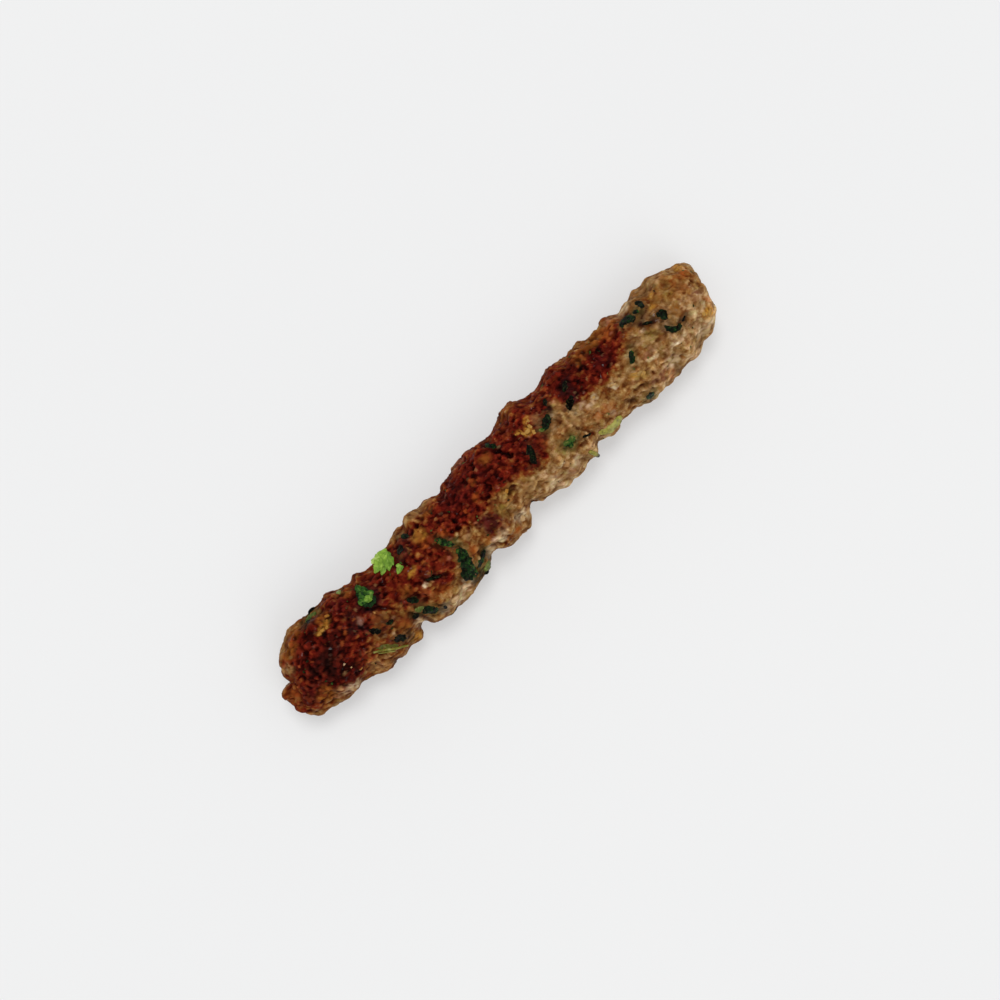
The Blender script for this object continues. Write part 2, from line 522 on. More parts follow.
# what, x, y, half length, half width, turn in degrees, how strong
PATCHES = [
    # the end with the lip
    ("red", -98.2, -2.9, 1.6, 1.6, 0, 0.5),
    ("brown", -93.6, -5.2, 2.4, 2.2, 0, 0.4),
    ("ochre", -89.2, -6.8, 3.6, 3.0, -30, 0.75),
    ("ochre", -87.6, 12.0, 3.8, 2.4, 35, 0.8),
    ("tan", -92.6, 8.0, 2.0, 2.8, 20, 0.6),
    ("tan", -89.4, 15.0, 4.2, 1.5, 38, 0.55),
    ("ochre", -81.4, 15.2, 4.0, 1.8, 0, 0.5),
    ("char", -88.8, 2.2, 2.8, 2.6, 0, 0.6),
    ("red", -85.0, 9.4, 4.4, 2.8, 0, 0.6),
    ("char", -78.4, -7.8, 4.8, 3.0, -10, 0.6),
    ("maroon", -93.0, -3.4, 3.0, 3.2, 0, 0.6),
    ("gold", -74.0, 9.6, 3.4, 1.3, 4, 0.5),
    ("ochre", -71.8, 12.0, 3.4, 1.8, 0, 0.6),
    ("ink", -66.2, 2.3, 3.4, 2.8, 0, 0.85),
    ("pink", -63.4, 2.5, 1.5, 1.3, 0, 0.5),
    ("cream", -81.6, -11.4, 4.6, 1.3, -10, 0.65),
    ("tan", -85.6, -9.4, 2.2, 2.0, 0, 0.5),
    ("russet", -72.6, -7.2, 3.4, 2.0, 0, 0.45),
    ("brown", -63.8, -15.6, 2.8, 1.2, 0, 0.5),
    ("char", -64.2, 6.2, 3.4, 2.6, 0, 0.65),
    ("orange", -97.4, 1.8, 2.4, 3.2, 70, 0.62),
    ("maroon", -64.8, 11.4, 3.4, 2.6, 0, 0.75),
    ("tan", -70.6, -11.4, 3.4, 1.8, 0, 0.4),
    ("char", -83.0, -0.4, 7.6, 4.8, 12, 0.75),
    ("char", -73.6, 3.2, 8.0, 3.6, 0, 0.55),
    ("brown", -67.4, -7.0, 2.2, 1.6, 0, 0.5),
    # first and second grips
    ("ochre", -62.2, -6.6, 2.8, 1.8, 0, 0.4),
    ("ochre", -54.4, -10.0, 3.4, 2.7, 0, 0.6),
    ("gold", -53.8, -15.0, 2.7, 1.3, 0, 0.55),
    ("brown", -51.0, -7.2, 2.8, 2.2, 0, 0.4),
    ("tan", -46.0, -15.0, 2.2, 1.4, 0, 0.4),
    ("cream", -35.6, -16.0, 3.0, 1.8, 0, 0.95),
    ("cream", -30.8, -14.9, 2.7, 1.7, 0, 0.6),
    ("cream", -28.4, -14.0, 1.7, 1.6, 0, 0.5),
    ("cream", -40.6, -15.6, 2.8, 1.7, 0, 0.45),
    ("russet", -42.2, -7.2, 3.6, 2.2, -42, 0.65),
    ("orange", -36.0, -10.4, 3.6, 1.4, -35, 0.5),
    ("ochre", -45.6, -1.8, 2.8, 2.4, 0, 0.6),
    ("gold", -39.6, 1.6, 2.4, 1.0, 10, 0.5),
    ("cream", -39.3, -4.8, 1.3, 1.0, 0, 0.55),
    ("red", -51.0, 9.0, 2.4, 2.4, 0, 0.4),
    ("gold", -29.0, 8.4, 3.4, 2.4, 0, 0.42),
    ("orange", -29.2, 5.2, 2.8, 1.8, 0, 0.4),
    ("tan", -26.8, 14.8, 3.4, 1.3, 0, 0.5),
    ("maroon", -36.0, -1.4, 2.2, 2.0, 0, 0.4),
    ("red", -31.0, -4.8, 3.4, 2.8, 0, 0.4),
    ("ink", -56.4, 5.6, 5.0, 5.2, 0, 0.95),
    ("ink", -41.4, 6.4, 3.4, 2.4, 0, 0.5),
    ("brown", -59.4, -2.2, 3.4, 2.4, 0, 0.8),
    ("ink", -37.2, 7.6, 3.4, 1.9, 0, 0.55),
    ("moss", -56.0, -13.0, 2.2, 1.6, 0, 0.4),
    ("ochre", -59.4, 12.4, 2.4, 1.6, 0, 0.6),
    ("brown", -30.6, -11.8, 2.6, 1.8, 0, 0.5),
    ("cream", -49.6, -12.2, 2.4, 1.8, 0, 0.55),
    # the middle
    ("tan", -20.6, 14.4, 4.0, 1.1, 0, 0.5),
    ("orange", -20.0, -8.2, 2.4, 2.0, 0, 0.45),
    ("olive", -17.3, -9.8, 2.0, 1.2, 0, 0.4),
    ("orange", -4.6, -14.3, 2.1, 1.1, 0, 0.6),
    ("olive", 2.2, -2.5, 2.9, 2.0, 0, 0.6),
    ("maroon", 4.3, -3.2, 1.1, 1.4, 0, 0.6),
    ("orange", -3.2, 8.2, 1.5, 1.3, -30, 0.6),
    ("orange", -6.6, 4.0, 1.8, 1.0, 28, 0.55),
    ("ochre", 4.6, 10.3, 2.7, 2.0, 0, 0.45),
    ("orange", -22.4, 3.3, 1.4, 1.8, 0, 0.45),
    ("tan", 9.6, -6.6, 4.0, 2.8, 0, 0.4),
    ("tan", -5.2, 15.7, 2.2, 1.0, 0, 0.5),
    ("pink", -1.5, 16.2, 1.8, 0.8, 0, 0.45),
    ("ochre", -21.6, 12.2, 2.6, 1.7, 0, 0.55),
    ("cream", -17.0, -12.2, 3.0, 1.5, 0, 0.8),
    ("moss", -21.6, -2.0, 2.4, 1.9, 0, 0.65),
    ("tan", -18.2, -3.1, 2.0, 1.6, 40, 0.55),
    ("maroon", -11.0, 8.4, 7.0, 3.8, 0, 0.45),
    ("maroon", 0.5, 8.4, 3.2, 3.0, 0, 0.45),
    ("cream", -10.4, -11.6, 3.8, 1.8, 0, 0.55),
    ("olive", -2.6, -6.2, 3.4, 2.4, -30, 0.5),
    ("brown", -3.0, -1.8, 2.8, 1.8, 0, 0.6),
    ("cream", -0.2, -11.8, 3.4, 2.0, 0, 0.75),
    ("maroon", -9.0, -6.0, 4.8, 3.5, -35, 1.15),
    # past the middle
    ("gold", 21.6, 7.0, 2.2, 1.9, 35, 0.6),
    ("gold", 18.8, 8.9, 1.4, 1.0, -30, 0.45),
    ("gold", 23.8, 9.7, 1.4, 1.0, 0, 0.45),
    ("tan", 26.2, 7.2, 1.8, 2.4, 0, 0.45),
    ("ochre", 19.8, 15.6, 4.0, 1.4, 0, 0.4),
    ("russet", 22.4, 0.2, 2.4, 2.4, 0, 0.45),
    ("tan", 33.9, 5.3, 2.0, 3.4, 0, 0.45),
    ("russet", 35.6, 3.4, 1.4, 1.2, 0, 0.5),
    ("tan", 33.9, -1.4, 2.8, 2.8, 0, 0.4),
    ("pink", 21.8, -13.2, 2.1, 1.4, 0, 0.45),
    ("brown", 32.4, -9.4, 1.7, 0.8, 40, 0.5),
    ("russet", 34.4, -10.2, 0.8, 1.5, 0, 0.5),
    ("cream", 45.3, -1.1, 1.4, 1.1, 0, 0.6),
    ("cream", 40.0, -0.5, 1.9, 0.9, 35, 0.5),
    ("orange", 44.4, -6.6, 4.0, 1.7, -8, 0.5),
    ("cream", 45.8, -9.3, 1.3, 1.0, 0, 0.5),
    ("cream", 52.8, -2.9, 1.9, 1.0, -30, 0.7),
    ("ochre", 50.2, 12.0, 2.8, 2.0, -35, 0.5),
    ("maroon", 56.2, 5.6, 3.6, 2.8, 0, 0.6),
    ("char", 46.6, 11.0, 3.6, 2.4, 0, 0.35),
    ("red", 37.4, 7.6, 2.0, 1.7, 0, 0.45),
    ("brown", 53.6, -11.3, 2.2, 1.4, -20, 0.7),
    ("brown", 62.6, -12.1, 3.4, 1.0, -18, 0.65),
    ("moss", 59.6, -14.7, 2.3, 1.0, 0, 0.6),
    ("gold", 60.4, -5.6, 2.5, 1.4, -20, 0.6),
    ("olive", 62.6, -7.6, 1.8, 1.3, 0, 0.6),
    ("ink", 39.4, 2.4, 2.8, 1.6, 30, 0.5),
    ("ink", 40.4, 8.0, 3.0, 2.4, 0, 0.4),
    ("pink", 66.0, -12.0, 3.2, 1.6, 0, 0.4),
    ("ink", 31.2, 6.8, 2.2, 2.2, 0, 0.45),
    ("cream", 25.4, -11.8, 3.0, 1.5, 0, 0.45),
    ("brown", 30.4, 2.2, 2.8, 2.0, 0, 0.75),
    ("cream", 15.6, -11.6, 3.4, 1.8, 0, 0.45),
    ("ochre", 29.2, -2.0, 3.2, 2.0, 0, 0.5),
    ("leaf", 27.6, -6.4, 4.0, 2.4, 0, 0.45),
    ("cream", 42.4, -2.3, 1.8, 1.4, 0, 0.45),
    ("orange", 64.2, 11.4, 3.4, 2.6, 0, 0.6),
    ("ochre", 57.4, 12.4, 5.4, 2.2, 0, 0.75),
    # the rounded end, golden with oil on its upper half
    ("ochre", 85.0, 5.6, 15.0, 10.4, 0, 0.38),
    ("brown", 76.4, -3.4, 4.4, 2.4, 0, 0.4),
    ("pink", 67.0, 13.8, 2.2, 1.3, 0, 0.4),
    ("orange", 69.6, 6.0, 2.8, 1.5, 0, 0.4),
    ("cream", 73.0, 2.9, 1.4, 1.0, 0, 0.5),
    ("pink", 68.6, -3.8, 3.4, 1.5, 0, 0.35),
    ("cream", 78.8, -7.9, 3.4, 0.8, -8, 0.6),
    ("cream", 68.6, -5.8, 2.7, 0.8, -5, 0.5),
    ("orange", 69.6, -14.3, 1.8, 1.1, 0, 0.6),
    ("gold", 82.8, 9.3, 1.4, 1.1, 0, 0.5),
    ("gold", 80.8, 6.2, 1.7, 1.1, 0, 0.45),
    ("ochre", 78.8, 13.0, 2.8, 1.1, 0, 0.5),
    ("olive", 87.8, 6.0, 2.7, 2.0, 0, 0.4),
    ("orange", 92.6, 5.3, 3.4, 3.4, 0, 0.35),
    ("gold", 96.4, 9.0, 1.6, 1.3, -40, 0.7),
    ("red", 94.9, 1.9, 2.1, 1.0, 20, 0.5),
    ("pink", 93.8, -2.1, 2.1, 2.1, 0, 0.45),
    ("gold", 92.5, -8.8, 2.4, 1.7, 20, 0.85),
    ("orange", 95.5, -5.2, 1.1, 1.7, 0, 0.5),
    ("tan", 83.8, -12.6, 4.8, 1.7, 0, 0.4),
    ("brown", 72.8, 7.0, 3.2, 1.6, 0, 0.5),
    ("ochre", 86.8, -1.6, 3.0, 2.6, 0, 0.45),
    ("tan", 85.0, 12.0, 4.6, 1.9, 0, 0.6),
    ("cream", 72.8, 12.6, 3.2, 1.4, 0, 0.5),
    ("orange", 96.4, 7.0, 1.8, 2.2, 0, 0.5),
    ("cream", 90.8, -11.2, 2.4, 1.6, 0, 0.55),
    ("cream", 86.4, -11.8, 2.8, 1.4, 0, 0.5),
    ("cream", 72.6, -11.4, 3.0, 1.7, 0, 0.5),
    ("brown", 68.4, 2.6, 2.6, 2.0, 0, 0.6),
    ("olive", 73.2, -0.6, 3.2, 2.6, 0, 0.6),
    ("brown", 77.0, 3.0, 3.4, 2.0, -32, 0.7),
    ("brown", 77.4, 6.4, 2.8, 1.9, 0, 0.6),
]

# the same sorts, strewn over the sides that are hidden when the roll lies so
STREWN = (
    ["brown"] * 5
    + ["tan"] * 4
    + ["ochre"] * 3
    + ["russet"] * 3
    + ["red"] * 3
    + ["maroon"] * 3
    + ["cream"] * 3
    + ["orange"] * 2
    + ["olive"] * 2
    + ["char"]
    + ["gold"]
)


def lay_patches(points, normals, view, patchy, flecks, rng):
    """Tint colour and strength over the skin; patchy lets single granules show through."""
    tint = np.zeros((RINGS, COLUMNS, 3))
    strength = np.zeros((RINGS, COLUMNS))
    warp = np.stack([fractal(points / 3.2, 3, SEED + k) for k in (31, 37)], -1)
    seen = smooth(-0.12, 0.10, normals[..., 2])
    warped = view + warp * 0.9

    def put(part, colour, weight):
        share = np.minimum(weight * patchy[part], 1.0)[..., None]
        tint[part] = tint[part] * (1.0 - share) + np.array(colour) * share
        strength[part] += share[..., 0] * (1.0 - strength[part])

    whole = slice(None)
    for name, x, y, a, b, turn, strong in PATCHES:
        c, s = math.cos(math.radians(turn)), math.sin(math.radians(turn))
        dx, dy = warped[..., 0] - x, warped[..., 1] - y
        d = np.hypot((dx * c + dy * s) / a, (dy * c - dx * s) / b)
        put(whole, PALETTE[name], strong * smooth(1.3, 0.5, d) * seen)

    # the juices of wilted herbs darken the mince round them
    for path, half, tone in HERBS:
        d = distance_to_path(view + warp * 0.5, path) - half
        stain = PALETTE["ink"] if tone < 0.15 else PALETTE["moss"]
        put(whole, stain, 0.50 * smooth(1.8, -0.1, d) * seen)

    for name, weight in flecks:
        put(whole, PALETTE[name], weight)

    hidden = 1.0 - seen
    rows, cols = pick_places(points, 460, rng)
    for i, j in zip(rows, cols):
        name = STREWN[rng.integers(len(STREWN))]
        radius = rng.uniform(1.2, 3.6)
        strong = rng.uniform(0.35, 0.75)
        if hidden[i, j] < 0.5:
            continue
        part = slice(max(0, i - 12), i + 13)
        d = np.linalg.norm(points[part] - points[i, j], axis=-1)
        d = d + warp[part, :, 0] * 0.8
        put(part, PALETTE[name], strong * smooth(1.2, 0.5, d / radius) * hidden[part])
    # what was mixed in so far is the tint times its strength
    return tint / np.maximum(strength, 1e-4)[..., None], strength


# =========================================================================================
# the finished skin, and charts that lay other pieces on it
# =========================================================================================
# Where the hand that shaped the roll left its outline fuller or tighter: x, half width,
# side, amount.
NUDGES = [
    (-98.0, 2.4, 1, 0.6),
    (-77.5, 3.0, 1, -0.7),
    (-69.4, 2.6, 1, -0.5),
    (-91.5, 3.6, 1, 0.8),
    (-58.4, 2.8, 1, -0.6),
    (-53.0, 3.0, 1, -0.9),
    (-47.0, 4.0, 1, -0.6),
    (-40.0, 3.0, 1, -0.6),
    (-17.8, 2.0, 1, 0.8),
    (-14.6, 1.8, 1, -0.9),
    (-8.8, 2.8, 1, -1.3),
    (9.0, 2.6, 1, -0.9),
    (16.6, 3.2, 1, -1.0),
    (27.4, 3.0, 1, -0.7),
    (38.6, 3.0, 1, -0.5),
    (48.0, 5.0, 1, -0.8),
    (55.6, 3.4, 1, -1.0),
    (62.0, 4.0, 1, -0.7),
    (81.8, 2.8, 1, -0.9),
    (96.4, 1.8, 1, 0.5),
    (-98.2, 2.0, -1, 0.2),
    (-76.4, 2.8, -1, -0.8),
    (-69.4, 3.0, -1, 0.8),
    (-61.4, 2.4, -1, 0.7),
    (-50.2, 1.6, -1, -0.8),
    (-17.0, 1.8, -1, -0.9),
    (-4.6, 2.4, -1, 0.5),
    (17.6, 2.4, -1, 0.5),
    (32.4, 1.8, -1, 1.2),
    (3.0, 1.8, -1, 1.1),
    (6.0, 1.6, -1, -0.5),
    (62.6, 4.5, -1, 0.9),
    (68.6, 2.6, -1, 0.7),
    (72.2, 1.8, -1, -0.5),
    (78.4, 2.8, -1, 0.8),
    (93.4, 2.4, -1, 1.1),
    (98.0, 1.8, -1, -1.6),
]


def nudge(points):
    """Swells and pinches of the outline."""
    x, y = points[..., 0], points[..., 1]
    reach = np.maximum(abs(y).max(1, keepdims=True), 1.0)
    total = np.zeros(x.shape)
    for at, half, side, amount in NUDGES:
        total += amount * np.exp(-(((x - at) / half) ** 2)) * smooth(0.35, 0.85, side * y / reach)
    return total


class Skin:
    def __init__(self):
        rng = np.random.default_rng(SEED)
        bare = sample_skin()
        normals = grid_normals(bare)
        lumps = 0.34 * fractal(bare / 5.2, 2, SEED + 50) + 0.26 * noise3(bare / 2.7, SEED + 51)
        lumps = lumps + nudge(bare)
        bare = bare + normals * lumps[..., None]
        bare[..., 2] = np.maximum(bare[..., 2], FLOOR_GAP)
        normals = grid_normals(bare)
        view = seen_from_above(bare)

        height, owner, count = lay_granules(bare, normals, rng)
        dents = press_pits(bare, rng) + open_cracks(bare, normals, view, rng)
        # the browned face is craggy, the flank closer knit
        self.sear = browning(view, bare)
        craggy = smooth(0.34, 0.62, self.sear)
        fibre = raise_fibres(bare, normals, view)
        relief = (blur(height, 1, 0.3) - 0.54) * (0.48 + 0.42 * craggy) - dents * (0.6 + 0.4 * craggy)
        relief = relief + 0.62 * fibre + 0.05 * noise3(bare / 0.9, SEED + 52)
        finished = bare + normals * relief[..., None]
        finished[..., 2] = np.maximum(finished[..., 2], FLOOR_GAP)

        self.bare, self.normals, self.view = bare, normals, view
        self.relief, self.finished = relief, finished
        self.cover = blur(swell_out(blur(relief, 1, 0.4)), 3, 0.6)
        self.tree = BVHTree.FromPolygons(
            [Vector(p) for p in bare.reshape(-1, 3)], [tuple(map(int, f)) for f in grid_faces()]
        )

        self.crease = np.clip((relief - blur(relief, 12, 0.6)) / 0.30, -1.5, 1.5)
        self.hollow = np.clip((blur(relief, 6) - blur(relief + lumps, 110, 0.6) + lumps) / 0.5, -1.0, 1.0)
        shade = rng.normal(0.0, 1.0, count + 1)
        self.grain = shade[owner] * (0.40 + 0.42 * craggy)
        share = np.array([g[0] for g in GRANULES])
        sort = rng.choice(len(GRANULES), count + 1, p=share / share.sum())
        tones = np.array([g[1] for g in GRANULES])[sort]
        tones = tones * np.exp(rng.normal(0.0, 0.05, (count + 1, 3)))
        calm = (0.38 - 0.12 * craggy)[..., None]
        self.tone = 1.0 + (tones[owner] - 1.0) * calm
        # the mix of fat, lean and juices drifts; where it is darker it is also browner
        drift = (1.9 - 0.8 * craggy) * fractal(bare / 2.1, 3, SEED + 71)
        self.tone = self.tone * np.exp(drift[..., None] * np.array((0.14, 0.19, 0.27)))
        pale = np.array((1.02, 1.03, 1.06)) ** (fibre / 0.45)[..., None]
        self.tone = self.tone * pale
        shade = rng.normal(0.0, 1.0, count + 1)[owner]
        self.tone = self.tone * np.exp(0.13 * shade * (0.35 + 0.65 * craggy))[..., None]
        patchy = np.clip(0.8 + 0.3 * rng.normal(0.0, 1.0, count + 1), 0.15, 1.15)[owner]
        # only single granules, not clods or strands
        lot = rng.random(count + 1)
        lot[: MINCE[0][0] + MINCE[1][0] + 1] = 1.0
        lot = lot[owner]
        mild = craggy * smooth(0.96, 0.76, self.sear)
        flecks = [
            (name, mild * rng.uniform(0.15, 0.42, count + 1)[owner] * ((lot > a) & (lot < b)))
            for name, a, b in FLECKS
        ]
        self.tint, self.strength = lay_patches(bare, normals, view, patchy, flecks, rng)
        self.strength = np.clip(self.strength, 0.0, 0.95)

    def cast(self, start, ray):
        """Where a ray meets the bare skin: the place, its normal, and the mince over it."""
        hit, _, face, _ = self.tree.ray_cast(Vector(start), Vector(ray).normalized())
        if hit is None:
            return None
        i, j = divmod(face, COLUMNS)
        return np.array(hit), self.normals[i, j], self.cover[i, j]

    def seen(self, x, y):
        """The surface under a place seen from above; past the outline it carries on outwards."""
        goal = np.array((x, y))
        anchor = np.array((min(max(x, -CAP_X), CAP_X), 0.0))
        pull = (anchor - goal) / max(np.linalg.norm(anchor - goal), 1e-9)
        eye = np.array(EYE)
        for step in range(40):
            at = goal + pull * 0.3 * step
            found = self.cast(eye, np.array((*at, OUTLINE_Z)) - eye)
            if found is not None:
                break
        place, normal, cover = found
        if step:
            over = np.array((*(goal - at), 0.0))
            place = place + over - np.array((0.0, 0.0, 0.3 * np.linalg.norm(over)))
            normal = normal + np.array((0.0, 0.0, 1.2))
            normal = normal / np.linalg.norm(normal)
        return place, normal, cover

    def beside(self, i, j):
        """A chart round a grid place, for the sides that aren't seen from above."""
        origin, n = self.bare[i, j], self.normals[i, j]
        t = np.cross(n, (0.0, 0.0, 1.0) if abs(n[2]) < 0.7 else (0.0, 1.0, 0.0))
        t = t / np.linalg.norm(t)
        s = np.cross(n, t)

        def chart(a, b):
            found = self.cast(origin + t * a + s * b + n * 6.0, -n)
            return found if found is not None else (origin + t * a + s * b, n, 0.0)

        return chart


def roll_mesh(skin):
    """One closed mesh with its two poles, and a map of one strip per half of the length."""
    count = RINGS * COLUMNS
    ends = []
    for k, side in ((0, -1.0), (RINGS - 1, 1.0)):
        ends.append(skin.finished[k].mean(0) + np.array((side * 0.03, 0.0, 0.0)))
    verts = np.concatenate([skin.finished.reshape(-1, 3), np.array(ends)], 0) * MM
    index = np.arange(count).reshape(RINGS, COLUMNS)
    nxt = np.roll(index, -1, 1)
    start = np.stack([np.full(COLUMNS, count), nxt[0], index[0]], -1)
    stop = np.stack([np.full(COLUMNS, count + 1), index[-1], nxt[-1]], -1)
    faces = [tuple(map(int, f)) for group in (grid_faces(), start, stop) for f in group]
    mesh = bpy.data.meshes.new("kofta_meat")
    mesh.from_pydata([tuple(v) for v in verts], [], faces)
    mesh.shade_smooth()

    layer = mesh.uv_layers.new(name="OFBake")
    loops = np.empty(len(mesh.loops), int)
    mesh.loops.foreach_get("vertex_index", loops)
    starts = np.empty(len(mesh.polygons), int)
    totals = np.empty(len(mesh.polygons), int)
    mesh.polygons.foreach_get("loop_start", starts)
    mesh.polygons.foreach_get("loop_total", totals)
    owner = np.repeat(np.arange(len(mesh.polygons)), totals)
    pole = loops >= count
    ring = np.minimum(loops // COLUMNS, RINGS - 1)
    col = np.where(pole, 0, loops % COLUMNS)
    face_ring = np.minimum(np.minimum.reduceat(ring, starts), RINGS - 2)
    u = (ring + 0.5) / RINGS
    u = np.where(loops == count, 0.0, np.where(loops == count + 1, 1.0, u))
    high = np.maximum.reduceat(np.where(pole, -1, col), starts)
    low = np.minimum.reduceat(np.where(pole, COLUMNS, col), starts)
    wraps = (high == COLUMNS - 1) & (low == 0)
    v = col / COLUMNS
    v = np.where(wraps[owner] & (col == 0), 1.0, v)
    v = np.where(pole, (np.where(wraps, COLUMNS - 1, low)[owner] + 0.5) / COLUMNS, v)
    second = face_ring[owner] >= RINGS // 2
    cut = (RINGS // 2 + 0.5) / RINGS
    u = np.where(second, (u - cut) / (1.0 - cut), u / cut)
    pad = 0.004
    uv = np.stack([pad + u * (1.0 - 2.0 * pad), second * 0.5 + pad + v * (0.5 - 2.0 * pad)], -1)
    layer.data.foreach_set("uv", uv.astype(np.float32).ravel())

    def put(name, field):
        values = np.concatenate([field.ravel(), [field[0].mean(), field[-1].mean()]])
        mesh.attributes.new(name, "FLOAT", "POINT").data.foreach_set(
            "value", values.astype(np.float32)
        )

    def paint(name, colour, alpha):
        rgba = np.concatenate([colour, alpha[..., None]], -1)
        ends = np.stack([rgba[0].mean(0), rgba[-1].mean(0)])
        rgba = np.concatenate([rgba.reshape(-1, 4), ends], 0).astype(np.float32)
        mesh.attributes.new(name, "FLOAT_COLOR", "POINT").data.foreach_set("color", rgba.ravel())

    put("sear", skin.sear)
    put("grain", skin.grain)
    put("crease", skin.crease)
    put("hollow", skin.hollow)
    paint("tone", skin.tone, np.ones((RINGS, COLUMNS)))
    paint("tint", skin.tint, skin.strength)
    return mesh


# =========================================================================================
# pieces lying on the skin
# =========================================================================================
class Pile:
    """Many small closed shells gathered into one mesh."""

    def __init__(self, name):
        self.name = name
        self.verts, self.faces = [], []
        self.tone, self.rib, self.rim = [], [], []

    def shell(self, top, under, tone, rib, rim):
        """A thin leaf from two grids of points, joined round the rim."""
        rows, cols = top.shape[:2]
        base = len(self.verts)
        self.verts += [tuple(p) for p in top.reshape(-1, 3)]
        self.verts += [tuple(p) for p in under.reshape(-1, 3)]
        self.tone += list(tone.ravel()) * 2
        self.rib += list(rib.ravel()) * 2
        self.rim += list(rim.ravel()) * 2
        flat = rows * cols
        at = lambda r, c, side=0: base + side * flat + r * cols + c
        for r in range(rows - 1):
            for c in range(cols - 1):
                self.faces.append((at(r, c), at(r + 1, c), at(r + 1, c + 1), at(r, c + 1)))
                self.faces.append(
                    (at(r, c, 1), at(r, c + 1, 1), at(r + 1, c + 1, 1), at(r + 1, c, 1))
                )
        for r in range(rows - 1):
            self.faces.append((at(r, 0), at(r, 0, 1), at(r + 1, 0, 1), at(r + 1, 0)))
            c = cols - 1
            self.faces.append((at(r, c), at(r + 1, c), at(r + 1, c, 1), at(r, c, 1)))
        for c in range(cols - 1):
            self.faces.append((at(0, c), at(0, c + 1), at(0, c + 1, 1), at(0, c, 1)))
            r = rows - 1
            self.faces.append((at(r, c), at(r, c, 1), at(r, c + 1, 1), at(r, c + 1)))

    def ball(self, rings, tone, rim=0.0):
        """A closed lump from rings of points between two poles."""
        base = len(self.verts)
        first, last = rings[0][0], rings[-1][0]
        body = rings[1:-1]
        cols = len(body[0])
        self.verts.append(tuple(first))
        for ring in body:
            self.verts += [tuple(p) for p in ring]
        self.verts.append(tuple(last))
        total = 2 + len(body) * cols
        self.tone += list(np.broadcast_to(tone, (total,)))
        self.rib += [0.0] * total
        self.rim += list(np.broadcast_to(rim, (total,)))
        at = lambda r, c: base + 1 + r * cols + c % cols
        for c in range(cols):
            self.faces.append((base, at(0, c), at(0, c + 1)))
            self.faces.append((base + total - 1, at(len(body) - 1, c + 1), at(len(body) - 1, c)))
        for r in range(len(body) - 1):
            for c in range(cols):
                self.faces.append((at(r, c), at(r + 1, c), at(r + 1, c + 1), at(r, c + 1)))

    def build(self, material):
        mesh = bpy.data.meshes.new(self.name)
        verts = np.array(self.verts) * MM
        mesh.from_pydata([tuple(v) for v in verts], [], self.faces)
        bm = bmesh.new()
        bm.from_mesh(mesh)
        bmesh.ops.recalc_face_normals(bm, faces=bm.faces)
        bm.to_mesh(mesh)
        bm.free()
        mesh.shade_smooth()
        for name in ("tone", "rib", "rim"):
            values = getattr(self, name)
            mesh.attributes.new(name, "FLOAT", "POINT").data.foreach_set(
                "value", np.array(values, np.float32)
            )
        mesh.materials.append(material)
        piece = bpy.data.objects.new(self.name, mesh)
        bpy.context.scene.collection.objects.link(piece)
        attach(piece, "root")
        return piece


def spline(path, steps):
    """Evenly spaced places on a smooth line through the given ones."""
    pts = np.array(path, float)
    if len(pts) == 2:
        pts = np.array([pts[0], pts.mean(0), pts[1]])
    ends = np.concatenate([[2 * pts[0] - pts[1]], pts, [2 * pts[-1] - pts[-2]]])
    fine = []
    for k in range(1, len(ends) - 2):
        a, b, c, d = ends[k - 1 : k + 3]
        for t in np.linspace(0.0, 1.0, 24, endpoint=False):
            fine.append(
                0.5
                * (
                    2 * b
                    + (c - a) * t
                    + (2 * a - 5 * b + 4 * c - d) * t * t
                    + (3 * b - a - 3 * c + d) * t**3
                )
            )
    fine = np.array(fine + [ends[-2]])
    run = np.concatenate([[0.0], np.cumsum(np.linalg.norm(np.diff(fine, axis=0), axis=1))])
    want = np.linspace(0.0, run[-1], steps)
    return np.stack([np.interp(want, run, fine[:, k]) for k in range(fine.shape[1])], -1), run[-1]


